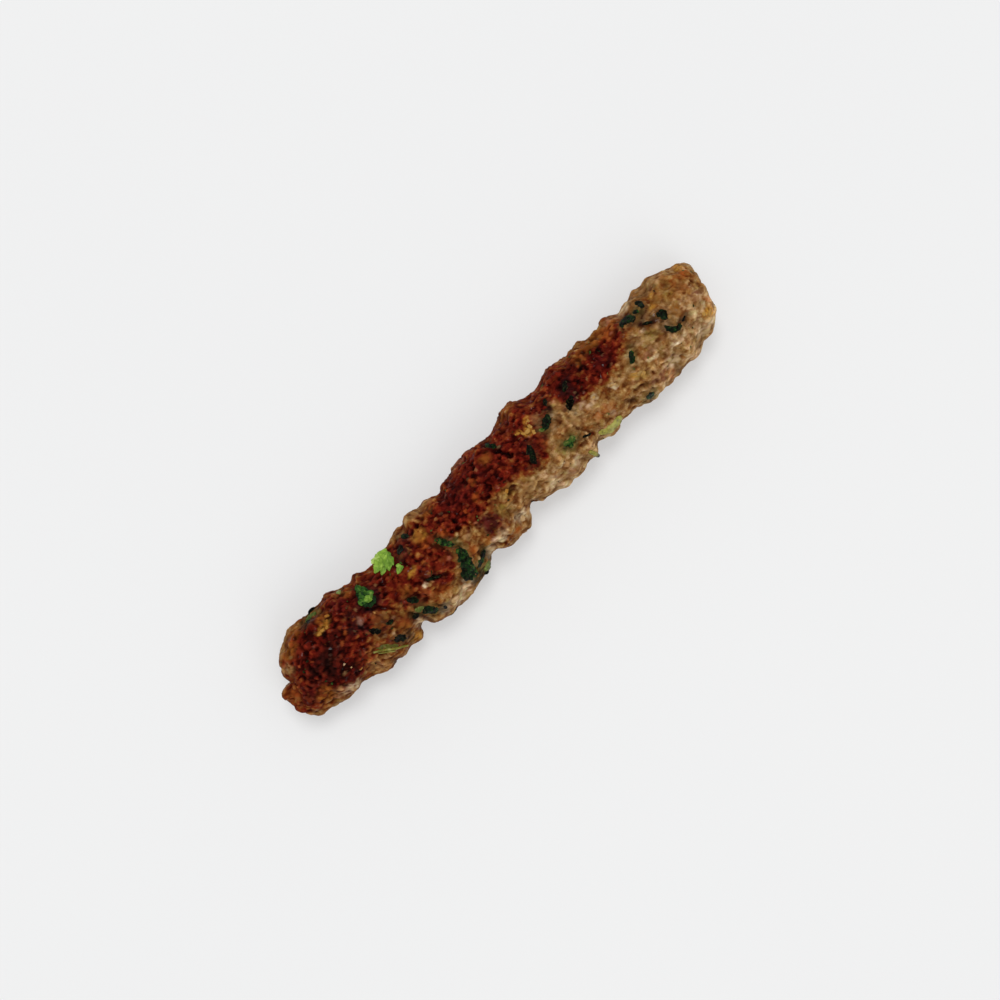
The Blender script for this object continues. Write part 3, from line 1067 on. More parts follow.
def lay_leaf(
    pile,
    chart,
    path,
    half,
    tone,
    rng,
    teeth=0.25,
    blunt=0.55,
    lift=0.10,
    rise=0.0,
    curl=0.25,
    crumple=0.18,
    thick=0.16,
    spread=0.06,
    ribs=0.0,
    droop=0.0,
    steepest=None,
):
    """Lays a leaf or a shred of one along a path on the skin.

    half is its half width, teeth how ragged its sides are, blunt how full its ends are,
    lift its height over the mince, rise the extra height at its far end, curl how far its
    sides stand up, ribs how deep its side veins are, droop how far its edges sink, and
    steepest the slope a stiff leaf keeps to where the roll falls away under it.
    """
    length = sum(math.dist(a, b) for a, b in zip(path[:-1], path[1:]))
    steps = max(8, int(length / 0.28))
    line, length = spline(path, steps)
    cols = max(7, 2 * int(half / 0.26) + 5)
    u = np.linspace(0.0, 1.0, steps)
    v = np.linspace(-1.0, 1.0, cols)
    way = np.gradient(line, axis=0)
    way /= np.maximum(np.linalg.norm(way, axis=1, keepdims=True), 1e-9)
    side = np.stack([-way[:, 1], way[:, 0]], -1)
    full = np.sin(np.pi * np.clip(u, 0.015, 0.985)) ** blunt
    shift = rng.uniform(0.0, 100.0)
    bend = rng.uniform(-1.0, 1.0)
    uu, vv = np.meshgrid(u, v, indexing="ij")
    deep = np.full_like(uu, shift)
    q = np.stack([uu * length / 0.9, 3.0 * np.sign(vv), deep], -1)
    ragged = teeth * (1.3 * noise3(q, 5) + 0.7 * noise3(q * 2.7, 6))
    away = half * full[:, None] * vv * (1.0 + ragged * abs(vv))
    flat = line[:, None] + side[:, None] * away[..., None]
    laid = [[chart(*flat[r, c]) for c in range(cols)] for r in range(steps)]
    place = np.array([[entry[0] for entry in row] for row in laid])
    normal = np.array([[entry[1] for entry in row] for row in laid])
    cover = np.array([[entry[2] for entry in row] for row in laid])
    wave = noise3(np.stack([flat[..., 0] / 1.3, flat[..., 1] / 1.3, deep], -1), 7)
    fine = noise3(np.stack([flat[..., 0] / 0.5, flat[..., 1] / 0.5, deep], -1), 8)
    vein = abs(np.sin((uu * length / 1.1 + 0.9 * abs(vv) * half) * math.pi))
    rim = np.maximum(abs(vv) ** 3, abs(2.0 * uu - 1.0) ** 6)
    up = (
        cover
        + lift
        + rise * uu**2
        + curl * half * (0.45 * vv**2 + 0.18 * bend * vv)
        + crumple * (wave + 0.35 * fine)
        + ribs * half * (vein * abs(vv) ** 0.5 - 0.4)
        - droop * rim
    )
    thin = thick * (1.0 - 0.6 * vv**4)
    top = place + normal * up[..., None]
    under = place + normal * (up - thin)[..., None]
    if steepest is not None:
        across, fall = steepest
        shoulder = [[chart(flat[r, c][0], across) for c in range(cols)] for r in range(steps)]
        crest = np.array([[(e[0] + e[1] * e[2])[2] for e in row] for row in shoulder])
        stiff = crest + lift - fall * (flat[..., 1] - across) + 0.3 * wave
        raised = np.where(flat[..., 1] > across, np.maximum(stiff - top[..., 2], 0.0), 0.0)
        top[..., 2] += raised
        under[..., 2] += raised
    shade = tone + spread * (1.6 * wave + fine)
    rib = 1.0 - np.minimum(1.0, abs(vv) * half / 0.22)
    for grid in (top, under):
        grid[..., 2] = np.maximum(grid[..., 2], FLOOR_GAP)
    pile.shell(top, under, shade, rib, rim)


def lay_stalk(pile, chart, path, radius, tone, rng, lift=0.35, tip=None):
    """A thin stalk: a tube along a path, a little flattened, with shallow grooves."""
    line, length = spline(path, max(8, int(math.dist(path[0], path[-1]) / 0.35)))
    steps, cols = len(line), 10
    heights = [chart(*p) for p in line]
    spine = np.array([place + normal * (cover + lift) for place, normal, cover in heights])
    for _ in range(3):
        spine[1:-1] = (spine[:-2] + 2 * spine[1:-1] + spine[2:]) / 4.0
    way = np.gradient(spine, axis=0)
    way /= np.linalg.norm(way, axis=1, keepdims=True)
    rings, tones = [], []
    for k in range(steps):
        n = heights[k][1]
        s = np.cross(way[k], n)
        s /= np.linalg.norm(s)
        n = np.cross(s, way[k])
        size = radius * (0.75 + 0.25 * math.sin(math.pi * k / (steps - 1)))
        size *= 1.0 + 0.12 * float(noise3(np.array((k * 0.35, 1.5, radius * 9)), 3))
        ring = []
        for c in range(cols):
            a = 2 * math.pi * c / cols
            r = size * (1.0 + 0.08 * math.cos(5 * a))
            ring.append(spine[k] + s * r * math.cos(a) + n * r * 0.85 * math.sin(a))
        rings.append(ring)
        tones.append(tone if tip is None else tone + (tip - tone) * smooth(0.55, 0.85, k / steps))
    caps = [spine[0] - way[0] * radius * 0.4, spine[-1] + way[-1] * radius * 0.4]
    values = [tones[0]] + [t for t in tones for _ in range(cols)] + [tones[-1]]
    pile.ball([[caps[0]]] + rings + [[caps[1]]], np.array(values, float))


def lay_lump(pile, chart, x, y, a, b, tall, turn, tone, rng, sink=0.68, boxy=2.3):
    """A soft-cornered bit, such as diced onion or fat, set into the mince."""
    place, normal, cover = chart(x, y)
    ahead = chart(x + 0.4 * math.cos(turn), y + 0.4 * math.sin(turn))[0]
    t = ahead - place
    t = t - normal * float(t @ normal)
    t /= max(np.linalg.norm(t), 1e-9)
    s = np.cross(normal, t)
    middle = place + normal * (cover + tall * (1.0 - 2.0 * sink) - 0.15)
    shift = rng.uniform(0.0, 100.0)
    cols, rows = 18, 11
    rings, rim = [], []
    for r in range(rows + 1):
        theta = math.pi * r / rows
        ring = []
        for c in range(cols):
            phi = 2 * math.pi * c / cols
            d = np.array(
                (math.sin(theta) * math.cos(phi), math.sin(theta) * math.sin(phi), math.cos(theta))
            )
            size = (abs(d) ** boxy).sum() ** (-1.0 / boxy)
            size *= 1.0 + 0.34 * float(noise3(d * 1.4 + shift, 9))
            size += 0.15 * float(noise3(d * 3.4 + shift, 10))
            d = d * size
            ring.append(middle + t * a * d[0] + s * b * d[1] + normal * tall * d[2])
        rings.append(ring[:1] if r in (0, rows) else ring)
        rim += [1.0 - math.cos(theta)] * len(rings[-1])
    pile.ball(rings, tone + 0.05 * rng.normal(), np.array(rim))


# Shreds of wilted herb. Tone runs from 0, black, through green to 1, pale.
# path, half width, tone
HERBS = [
    ([(-74.6, 16.0), (-72.8, 16.7), (-71.0, 16.4)], 0.6, 0.02),
    ([(-77.2, 15.0), (-74.3, 15.5), (-71.6, 14.9)], 0.7, 0.40),
    ([(-76.9, 15.0), (-75.2, 14.4)], 0.7, 0.0),
    ([(-62.8, 14.7), (-60.8, 14.1)], 0.5, 0.60),
    ([(-64.0, -2.0), (-62.5, -3.8), (-61.4, -5.6)], 1.1, 0.03),
    ([(-60.3, -10.0), (-58.1, -11.6), (-56.2, -12.7)], 1.5, 0.08),
    ([(-58.6, -4.7), (-55.4, -5.5)], 0.8, 0.12),
    ([(-50.6, -9.7), (-48.3, -10.6)], 0.8, 0.0),
    ([(-47.2, -10.0), (-44.6, -11.9), (-42.2, -14.0)], 1.5, 0.15),
    ([(-40.9, -14.6), (-39.3, -15.4)], 0.7, 0.02),
    ([(-48.4, -8.4), (-46.8, -9.3), (-45.0, -9.5)], 0.95, 0.46),
    ([(-47.8, -3.9), (-46.0, -5.8), (-44.9, -7.3)], 1.2, 0.10),
    ([(-38.6, -3.7), (-36.4, -4.9), (-33.8, -6.5)], 0.55, 0.08),
    ([(-26.5, 3.7), (-25.1, 0.9), (-23.0, -2.9)], 1.25, 0.24),
    ([(-23.1, -3.3), (-23.4, -6.5), (-24.6, -9.9), (-25.4, -12.9), (-24.8, -15.7)], 2.3, 0.20),
    ([(-25.0, -9.4), (-27.7, -12.3), (-26.4, -15.2)], 1.5, 0.10),
    ([(-23.2, -13.8), (-20.0, -12.4), (-16.8, -10.9)], 0.9, 0.16),
    ([(-22.9, -15.9), (-20.4, -15.5), (-18.4, -14.2)], 0.9, 0.50),
    ([(-23.3, -16.6), (-21.0, -16.7)], 0.6, 0.02),
    ([(-34.0, 12.5), (-31.7, 10.6)], 1.0, 0.12),
    ([(-38.8, 8.6), (-35.4, 10.5)], 1.0, 0.05),
    ([(8.2, 14.2), (9.3, 12.4), (10.7, 10.5)], 0.9, 0.12),
    ([(15.2, -3.2), (16.7, -0.1), (17.7, 2.3), (18.8, 4.0)], 1.35, 0.08),
    ([(25.3, 2.8), (27.8, 4.3), (30.6, 6.1)], 1.6, 0.12),
    ([(24.2, 4.4), (26.3, 3.2)], 0.7, 0.42),
    ([(31.8, 8.1), (33.4, 10.8)], 0.8, 0.05),
    ([(36.1, 1.8), (38.3, 3.3), (40.8, 4.7)], 1.4, 0.03),
    ([(39.4, 7.2), (41.3, 8.7), (42.8, 9.8)], 1.0, 0.04),
    ([(32.8, -7.7), (36.1, -9.0)], 0.5, 0.06),
    ([(68.0, 8.6), (70.0, 9.5), (72.2, 9.0), (74.0, 7.6), (75.0, 6.6)], 1.4, 0.12),
    ([(77.2, 11.5), (78.7, 9.7), (77.9, 7.9)], 1.15, 0.09),
    ([(74.5, 9.6), (76.9, 8.6)], 0.8, 0.20),
    ([(79.5, 3.5), (81.6, 2.2), (81.2, -0.6)], 1.45, 0.11),
    ([(79.2, -1.0), (79.6, -3.2), (81.6, -4.9), (84.0, -4.8)], 1.15, 0.13),
    ([(84.2, -4.5), (86.6, -3.7)], 0.5, 0.05),
    ([(62.0, -2.6), (63.9, -0.8), (65.3, 1.4)], 1.2, 0.18),
    ([(57.3, -13.9), (60.7, -14.6)], 1.0, 0.22),
    ([(74.2, 4.7), (77.4, 2.5)], 0.6, 0.04),
    # a greener piece and two lobes beside it
    ([(26.4, -4.7), (28.6, -5.8), (31.4, -5.2)], 1.3, 0.33),
    ([(27.4, -6.0), (29.4, -7.5)], 0.9, 0.26),
    ([(29.6, -4.6), (31.2, -6.6)], 0.8, 0.30),
]

# how wilted shreds lie: flat, with their edges sunk between the granules
LIMP = {"lift": 0.13, "curl": 0.0, "crumple": 0.12, "thick": 0.24, "spread": 0.10, "droop": 0.42}

# Fresh leaf: a parsley leaf, a small bit of one and a curled tuft, each a fan of lobes.
# base, tip, half width, tone, rise at the tip
LEAFLETS = [
    ((-39.9, 12.7), (-47.0, 12.3), 1.2, 0.86, 0.3),
    ((-40.2, 12.3), (-48.8, 9.4), 1.7, 0.78, 0.4),
    ((-40.6, 12.2), (-47.2, 7.3), 1.6, 0.72, 0.4),
    ((-40.8, 12.2), (-44.4, 6.6), 1.4, 0.68, 0.3),
    ((-40.4, 12.2), (-42.2, 7.2), 0.9, 0.62, 0.2),
    ((-40.4, 5.2), (-43.4, 4.2), 0.9, 0.70, 0.2),
    ((-40.9, 5.0), (-41.9, 6.6), 0.8, 0.74, 0.2),
    ((-40.3, 5.0), (-41.4, 4.0), 0.6, 0.60, 0.2),
]
TUFT = (-56.6, 5.4)
TUFT_LOBES = [
    # tip, half width, tone, lift
    ((-56.3, 11.2), 1.7, 0.42, 0.6),
    ((-58.2, 9.6), 1.2, 0.20, 0.5),
    ((-54.7, 9.4), 1.2, 0.24, 0.5),
    ((-59.9, 6.6), 1.0, 0.44, 0.7),
    ((-53.4, 6.4), 1.0, 0.46, 0.7),
    ((-59.2, 4.2), 1.3, 0.14, 0.4),
    ((-54.2, 4.0), 1.3, 0.16, 0.4),
    ((-57.9, 2.8), 1.3, 0.20, 0.5),
    ((-55.6, 2.7), 1.3, 0.18, 0.5),
]

# Diced onion and lumps of fat: x, y, half length, half width, height, turn, tone
# (0 cream fat to 1 golden onion)
BITS = [
    (-76.5, 9.0, 0.9, 0.6, 0.34, 10, 0.72),
    (-74.9, 9.3, 1.0, 0.6, 0.34, -12, 0.60),
    (-73.0, 9.0, 0.8, 0.6, 0.30, 40, 0.78),
    (-71.6, 10.2, 0.8, 0.5, 0.30, 55, 0.84),
    (-70.4, 11.6, 0.9, 0.6, 0.32, -20, 0.88),
    (18.4, 8.8, 1.0, 0.6, 0.26, -40, 0.62),
    (19.9, 7.4, 1.2, 0.7, 0.30, -35, 0.56),
    (21.6, 6.9, 1.3, 0.8, 0.32, 10, 0.54),
    (23.2, 7.4, 0.7, 1.2, 0.30, 10, 0.58),
    (23.8, 9.0, 1.0, 0.7, 0.26, 20, 0.52),
    (22.8, 5.2, 0.7, 1.1, 0.28, -10, 0.60),
    (60.2, -5.2, 1.4, 0.8, 0.40, -30, 0.55),
    (62.6, -7.4, 1.1, 0.8, 0.35, 20, 0.50),
    (93.2, -9.0, 1.3, 0.9, 0.40, 30, 0.50),
    (91.4, -7.8, 0.9, 0.7, 0.34, 70, 0.48),
    (83.0, 9.0, 0.7, 0.6, 0.32, 0, 0.66),
    (81.0, 6.4, 0.7, 0.6, 0.32, 0, 0.70),
    (96.4, 9.0, 0.9, 0.8, 0.36, 0, 0.70),
    (45.2, -1.0, 0.9, 0.7, 0.32, 20, 0.40),
    (52.8, -2.9, 1.3, 0.7, 0.32, -30, 0.30),
    (2.2, -2.3, 1.0, 0.7, 0.32, 30, 0.70),
    (-36.0, -15.6, 1.9, 1.2, 0.45, 0, 0.10),
    (-0.4, -12.6, 1.7, 1.3, 0.50, 20, 0.12),
    (-53.6, -14.8, 1.3, 0.8, 0.36, 10, 0.80),
    # crumbs of fat in the darkest meat
    (-77.9, -4.2, 0.5, 0.4, 0.30, 20, 0.08),
    (-76.9, -6.6, 0.45, 0.35, 0.26, 0, 0.20),
    (-74.9, -9.0, 0.7, 0.6, 0.28, 0, 0.74),
]


def lies_even(skin, i, j, reach=3.6, step=1.7):
    """Whether the skin round a place has no dent or edge that a flake would bridge."""
    away = skin.bare[max(0, i - 16) : i + 17] - skin.bare[i, j]
    near = np.linalg.norm(away, axis=-1) < reach
    return abs(away[near] @ skin.normals[i, j]).max() < step


def hidden_places(skin, count, rng, taken=(), apart=5.0):
    """Places low on the sides and on the underside, clear of the flats it rests on."""
    rows, cols = pick_places(skin.bare, count * 30, rng)
    chosen = []
    for i, j in zip(rows, cols):
        n, p = skin.normals[i, j], skin.bare[i, j]
        if n[2] > -0.12 or p[2] < 1.6 or abs(p[0]) > 91.0 or not lies_even(skin, i, j):
            continue
        if all(np.linalg.norm(p - skin.bare[a, b]) > apart for a, b in [*chosen, *taken]):
            chosen.append((i, j))
        if len(chosen) == count:
            break
    return chosen


def make_greens(skin):
    rng = np.random.default_rng(SEED + 1)
    wilted = Pile("herb_flakes")
    for path, half, tone in HERBS:
        lay_leaf(wilted, skin.seen, path, half * 1.22, tone, rng, teeth=0.22, **LIMP)
    below = hidden_places(skin, 27, rng)
    for i, j in below:
        chart = skin.beside(i, j)
        # a broad flake or a shred, and beside some of them a crumb torn off
        broad = rng.random() < 0.55
        spin = rng.uniform(0.0, 2 * math.pi)
        length = rng.uniform(0.9, 2.2) if broad else rng.uniform(1.4, 3.4)
        length = min(length, 1.4 - 8.0 * skin.normals[i, j, 2])
        bend = rng.uniform(-0.3, 0.3)
        d = np.array((math.cos(spin), math.sin(spin)))
        side = np.array((-d[1], d[0]))
        path = [tuple(-d * length), tuple(side * bend * length), tuple(d * length)]
        half = rng.uniform(0.9, 1.5) if broad else rng.uniform(0.5, 0.9)
        tone = rng.choice([0.04, 0.08, 0.12, 0.16, 0.22, 0.28, 0.34, 0.44])
        lay_leaf(
            wilted, chart, path, half, tone, rng,
            teeth=0.34, blunt=0.42 if broad else 0.6, **LIMP,
        )  # fmt: skip
        if rng.random() < 0.4:
            spot = side * rng.choice([-1.0, 1.0]) * (half + rng.uniform(0.7, 1.3))
            path = [tuple(spot - d * 0.6), tuple(spot + d * 0.6)]
            lay_leaf(wilted, chart, path, 0.5, tone * 0.8, rng, teeth=0.34, **LIMP)
    # fine flecks everywhere
    rows, cols = pick_places(skin.bare, 300, rng)
    for i, j in zip(rows, cols):
        if skin.bare[i, j, 2] < 1.2:
            continue
        chart = skin.beside(i, j)
        spin, length = rng.uniform(0.0, 2 * math.pi), rng.uniform(0.35, 0.95)
        d = np.array((math.cos(spin), math.sin(spin))) * length
        tone = rng.choice([0.10, 0.16, 0.22, 0.30, 0.36, 0.44])
        lay_leaf(
            wilted, chart, [tuple(-d), tuple(d)], rng.uniform(0.2, 0.42), tone, rng, lift=-0.17
        )
    wilted.build(wilted_material())

    fresh = Pile("parsley")
    for base, tip, half, tone, rise in LEAFLETS:
        middle = ((base[0] + tip[0]) / 2, (base[1] + tip[1]) / 2 + 0.15)
        lay_leaf(
            fresh, skin.seen, [base, middle, tip], half, tone, rng,
            teeth=0.26, blunt=0.75, lift=0.30, rise=rise, curl=0.22, crumple=0.14,
            thick=0.20, spread=0.06, ribs=0.10, steepest=(9.5, 0.75),
        )  # fmt: skip
    for tip, half, tone, lift in TUFT_LOBES:
        start = (TUFT[0] * 0.93 + tip[0] * 0.07, TUFT[1] * 0.93 + tip[1] * 0.07)
        middle = ((TUFT[0] + tip[0]) / 2, (TUFT[1] + tip[1]) / 2)
        lay_leaf(
            fresh, skin.seen, [start, middle, tip], half, tone, rng,
            teeth=0.35, blunt=0.6, lift=lift, rise=-0.3, curl=0.5, crumple=0.3,
            thick=0.2, spread=0.09, ribs=0.15,
        )  # fmt: skip
    for k in range(5):
        a = 2 * math.pi * k / 5 + 0.3
        tip = (TUFT[0] + 1.35 * math.cos(a), TUFT[1] - 0.2 + 1.2 * math.sin(a))
        lay_leaf(
            fresh, skin.seen, [(TUFT[0], TUFT[1] - 0.2), tip], 0.75, 0.66, rng,
            teeth=0.3, lift=1.1, rise=0.4, curl=0.5, crumple=0.25, thick=0.2, spread=0.08,
        )  # fmt: skip
    fresh.build(fresh_material())

    stalks = Pile("herb_stalks")
    lay_stalk(
        stalks, skin.seen, [(-68.0, -8.3), (-65.3, -10.0), (-62.2, -12.3), (-58.3, -14.8)],
        0.50, 0.46, rng, lift=0.14,
    )  # fmt: skip
    lay_stalk(
        stalks, skin.seen, [(-67.0, -9.7), (-64.9, -11.3), (-62.6, -13.1)],
        0.30, 0.48, rng, lift=0.10,
    )  # fmt: skip
    lay_leaf(
        stalks, skin.seen, [(-67.4, -8.4), (-64.4, -9.7), (-60.2, -12.9)], 1.2, 0.30, rng,
        teeth=0.15, lift=0.02, curl=0.0, crumple=0.12, droop=0.4,
    )  # fmt: skip
    lay_stalk(
        stalks, skin.seen, [(31.2, -12.8), (32.0, -14.4), (32.3, -15.9)], 0.85, 0.55, rng,
        lift=0.1, tip=0.02,
    )  # fmt: skip
    # a slice of green pepper pressed into the lower edge
    lay_leaf(
        stalks, skin.seen,
        [(37.6, -10.7), (40.6, -12.2), (43.8, -12.7), (47.6, -12.2)],
        1.45, 0.62, rng, teeth=0.13, blunt=0.5, lift=0.20, curl=0.0, crumple=0.12,
        thick=0.8, spread=0.13, droop=0.34,
    )  # fmt: skip
    stalks.build(stalk_material())
    return below


def make_bits(skin, herbs):
    rng = np.random.default_rng(SEED + 2)
    bits = Pile("onion_bits")
    for x, y, a, b, tall, turn, tone in BITS:
        lay_lump(bits, skin.seen, x, y, a, b, tall, math.radians(turn), tone, rng)
    for i, j in hidden_places(skin, 20, rng, herbs, 4.5):
        a = rng.uniform(0.6, 1.5)
        lay_lump(
            bits, skin.beside(i, j), 0.0, 0.0, a, a * rng.uniform(0.5, 0.8),
            rng.uniform(0.3, 0.5), rng.uniform(0, 6.28), rng.uniform(0.3, 1.0), rng,
        )  # fmt: skip
    bits.build(onion_material())


# =========================================================================================
# materials
# =========================================================================================
class Tree:
    """A short way to write a node tree."""

    def __init__(self, name):
        self.material = bpy.data.materials.new(name)
        self.material.use_nodes = True
        self.nodes = self.material.node_tree.nodes
        self.links = self.material.node_tree.links
        self.shader = self.nodes["Principled BSDF"]
        self.place = self.node("ShaderNodeTexCoord").outputs["Object"]

    def node(self, kind, **sets):
        made = self.nodes.new(kind)
        for key, value in sets.items():
            setattr(made, key, value)
        return made

    def feed(self, socket, value):
        if isinstance(value, bpy.types.NodeSocket):
            self.links.new(value, socket)
        else:
            socket.default_value = value

    def finish(self, **values):
        """Sets constants on the shader's own sockets."""
        for name, value in values.items():
            self.shader.inputs[name.replace("_", " ")].default_value = value

    def math(self, operation, *values, clamp=False):
        made = self.node("ShaderNodeMath", operation=operation, use_clamp=clamp)
        for socket, value in zip(made.inputs, values):
            self.feed(socket, value)
        return made.outputs[0]

    def noise(self, scale, detail=3.0, rough=0.5, distort=0.0, where=None):
        made = self.node("ShaderNodeTexNoise")
        made.inputs["Scale"].default_value = scale
        made.inputs["Detail"].default_value = detail
        made.inputs["Roughness"].default_value = rough
        made.inputs["Distortion"].default_value = distort
        self.feed(made.inputs["Vector"], where or self.place)
        return made.outputs["Fac"]

    def value(self, name):
        return self.node("ShaderNodeAttribute", attribute_name=name).outputs["Fac"]

    def ramp(self, factor, stops):
        made = self.node("ShaderNodeValToRGB")
        ramp = made.color_ramp
        while len(ramp.elements) > 1:
            ramp.elements.remove(ramp.elements[0])
        for k, (at, colour) in enumerate(stops):
            element = ramp.elements[0] if k == 0 else ramp.elements.new(at)
            element.position = at
            element.color = (*colour, 1.0)
        self.feed(made.inputs[0], factor)
        return made.outputs["Color"]

    def mix(self, factor, a, b, blend="MIX"):
        made = self.node("ShaderNodeMix", data_type="RGBA", blend_type=blend)
        self.feed(made.inputs["Factor"], factor)
        for name, value in (("A", a), ("B", b)):
            socket = [s for s in made.inputs if s.name == name and s.type == "RGBA"][0]
            self.feed(socket, (*value, 1.0) if isinstance(value, tuple) else value)
        return [s for s in made.outputs if s.type == "RGBA"][0]

    def span(self, value, a, b, c, d):
        made = self.node("ShaderNodeMapRange")
        for socket, v in zip(made.inputs[:5], (value, a, b, c, d)):
            self.feed(socket, v)
        return made.outputs[0]

    def add(self, *values):
        total = values[0]
        for value in values[1:]:
            total = self.math("ADD", total, value)
        return total

    def grey(self, value):
        made = self.node("ShaderNodeCombineColor")
        for socket in made.inputs[:3]:
            self.feed(socket, value)
        return made.outputs[0]

    def bump(self, height, distance, strength=1.0, under=None):
        made = self.node("ShaderNodeBump")
        made.inputs["Strength"].default_value = strength
        made.inputs["Distance"].default_value = distance
        self.feed(made.inputs["Height"], height)
        if under is not None:
            self.feed(made.inputs["Normal"], under)
        return made.outputs["Normal"]


def meat_material():
    t = Tree("grilled_mince")
    sear, grain = t.value("sear"), t.value("grain")
    crease, hollow = t.value("crease"), t.value("hollow")
    tone = t.node("ShaderNodeAttribute", attribute_name="tone").outputs["Color"]
    tint = t.node("ShaderNodeAttribute", attribute_name="tint")
    fine = t.noise(2100.0, 4.0, 0.7)
    mid = t.noise(520.0, 3.0, 0.55, distort=0.4)

    # browned amount, spread by granules, by mottling and by what lies deep or proud
    amount = t.add(
        sear,
        t.math("MULTIPLY", grain, 0.075),
        t.span(mid, 0.25, 0.75, -0.10, 0.10),
        t.span(fine, 0.25, 0.75, -0.08, 0.08),
        t.math("MULTIPLY", crease, -0.055),
        t.math("MULTIPLY", hollow, -0.05),
    )
    base = t.ramp(
        amount,
        [
            (0.00, srgb(216, 192, 154)),
            (0.12, srgb(192, 164, 124)),
            (0.24, srgb(166, 133, 91)),
            (0.36, srgb(140, 102, 57)),
            (0.48, srgb(118, 70, 29)),
            (0.58, srgb(106, 44, 18)),
            (0.68, srgb(94, 25, 11)),
            (0.78, srgb(76, 13, 6)),
            (0.88, srgb(50, 6, 2)),
            (1.00, srgb(20, 3, 2)),
        ],
    )
    patch = t.mix(
        1.0,
        tint.outputs["Color"],
        t.grey(
            t.add(
                t.span(fine, 0.25, 0.75, 0.72, 1.28),
                t.span(mid, 0.25, 0.75, -0.14, 0.14),
                t.math("MULTIPLY", grain, -0.14),
            )
        ),
        "MULTIPLY",
    )
    base = t.mix(tint.outputs["Alpha"], base, patch)
    base = t.mix(1.0, base, tone, "MULTIPLY")
    # creases are dark with juices, the tops of granules catch less char
    depth = t.ramp(
        t.span(crease, -1.5, 1.5, 0.0, 1.0),
        [
            (0.0, (0.32, 0.19, 0.14)),
            (0.28, (0.62, 0.48, 0.40)),
            (0.5, (0.95, 0.92, 0.88)),
            (0.75, (1.32, 1.37, 1.43)),
            (1.0, (1.60, 1.72, 1.95)),
        ],
    )
    base = t.mix(t.span(sear, 0.30, 0.60, 0.80, 1.0), base, depth, "MULTIPLY")
    wide = t.span(hollow, -1.0, 1.0, 0.62, 1.22)
    base = t.mix(1.0, base, t.grey(wide), "MULTIPLY")
    t.feed(t.shader.inputs["Base Color"], base)

    t.feed(t.shader.inputs["Roughness"], t.span(t.noise(260.0, 3.0, 0.6), 0.3, 0.7, 0.42, 0.68))
    t.finish(Specular_IOR_Level=0.02, Coat_Roughness=0.14, Coat_IOR=1.42)
    greasy = t.span(t.noise(560.0, 2.0, 0.5), 0.60, 0.70, 0.0, 0.38)
    t.feed(t.shader.inputs["Coat Weight"], greasy)

    normal = t.bump(t.noise(900.0, 3.0, 0.6, distort=0.6), 0.00030, 0.9)
    normal = t.bump(fine, 0.00016, 0.8, under=normal)
    t.feed(t.shader.inputs["Normal"], normal)
    return t.material


def wilted_material():
    t = Tree("wilted_herb")
    mottle = t.noise(900.0, 3.0, 0.6)
    amount = t.add(t.value("tone"), t.span(mottle, 0.3, 0.7, -0.06, 0.07))
    base = t.ramp(
        amount,
        [
            (0.00, srgb(8, 6, 3)),
            (0.08, srgb(9, 11, 4)),
            (0.16, srgb(12, 26, 10)),
            (0.26, srgb(20, 47, 15)),
            (0.32, srgb(46, 80, 24)),
            (0.37, srgb(64, 78, 30)),
            (0.48, srgb(90, 96, 42)),
            (0.70, srgb(132, 148, 80)),
            (1.00, srgb(176, 186, 120)),
        ],
    )
    # crumbs of mince and grease stick to it
    speck = t.noise(1500.0, 2.0, 0.5)
    base = t.mix(t.span(speck, 0.58, 0.72, 0.0, 0.30), base, srgb(92, 84, 48))
    # the mince laps over its edges and takes its juices
    lap = t.math("MULTIPLY", t.value("rim"), t.span(t.noise(1100.0, 2.0), 0.38, 0.60, 0.25, 1.0))
    base = t.mix(t.span(lap, 0.20, 0.95, 0.0, 0.80), base, srgb(70, 50, 24))
    t.feed(t.shader.inputs["Base Color"], base)
    t.feed(t.shader.inputs["Roughness"], t.span(mottle, 0.3, 0.7, 0.34, 0.6))
    t.finish(Specular_IOR_Level=0.06)
    normal = t.bump(t.noise(1500.0, 4.0, 0.6), 0.00022, 0.9)
    t.feed(t.shader.inputs["Normal"], t.bump(t.noise(600.0, 2.0), 0.00045, 0.8, under=normal))
    return t.material


def fresh_material():
    t = Tree("fresh_parsley")
    mottle = t.noise(650.0, 3.0, 0.6)
    amount = t.add(t.value("tone"), t.span(mottle, 0.3, 0.7, -0.07, 0.07))
    base = t.ramp(
        amount,
        [
            (0.00, srgb(10, 18, 10)),
            (0.25, srgb(22, 52, 20)),
            (0.42, srgb(46, 86, 26)),
            (0.58, srgb(80, 116, 34)),
            (0.72, srgb(108, 143, 46)),
            (0.86, srgb(138, 172, 62)),
            (1.00, srgb(196, 214, 128)),
        ],
    )
    pale = t.span(t.value("tone"), 0.35, 0.70, 0.04, 0.35)
    base = t.mix(t.math("MULTIPLY", t.value("rib"), pale), base, srgb(176, 198, 108))
    t.feed(t.shader.inputs["Base Color"], base)
    t.feed(t.shader.inputs["Roughness"], t.span(mottle, 0.3, 0.7, 0.40, 0.58))
    t.finish(Specular_IOR_Level=0.10)
    normal = t.bump(t.noise(1300.0, 3.0, 0.6), 0.00014, 0.7)
    t.feed(t.shader.inputs["Normal"], normal)
    return t.material


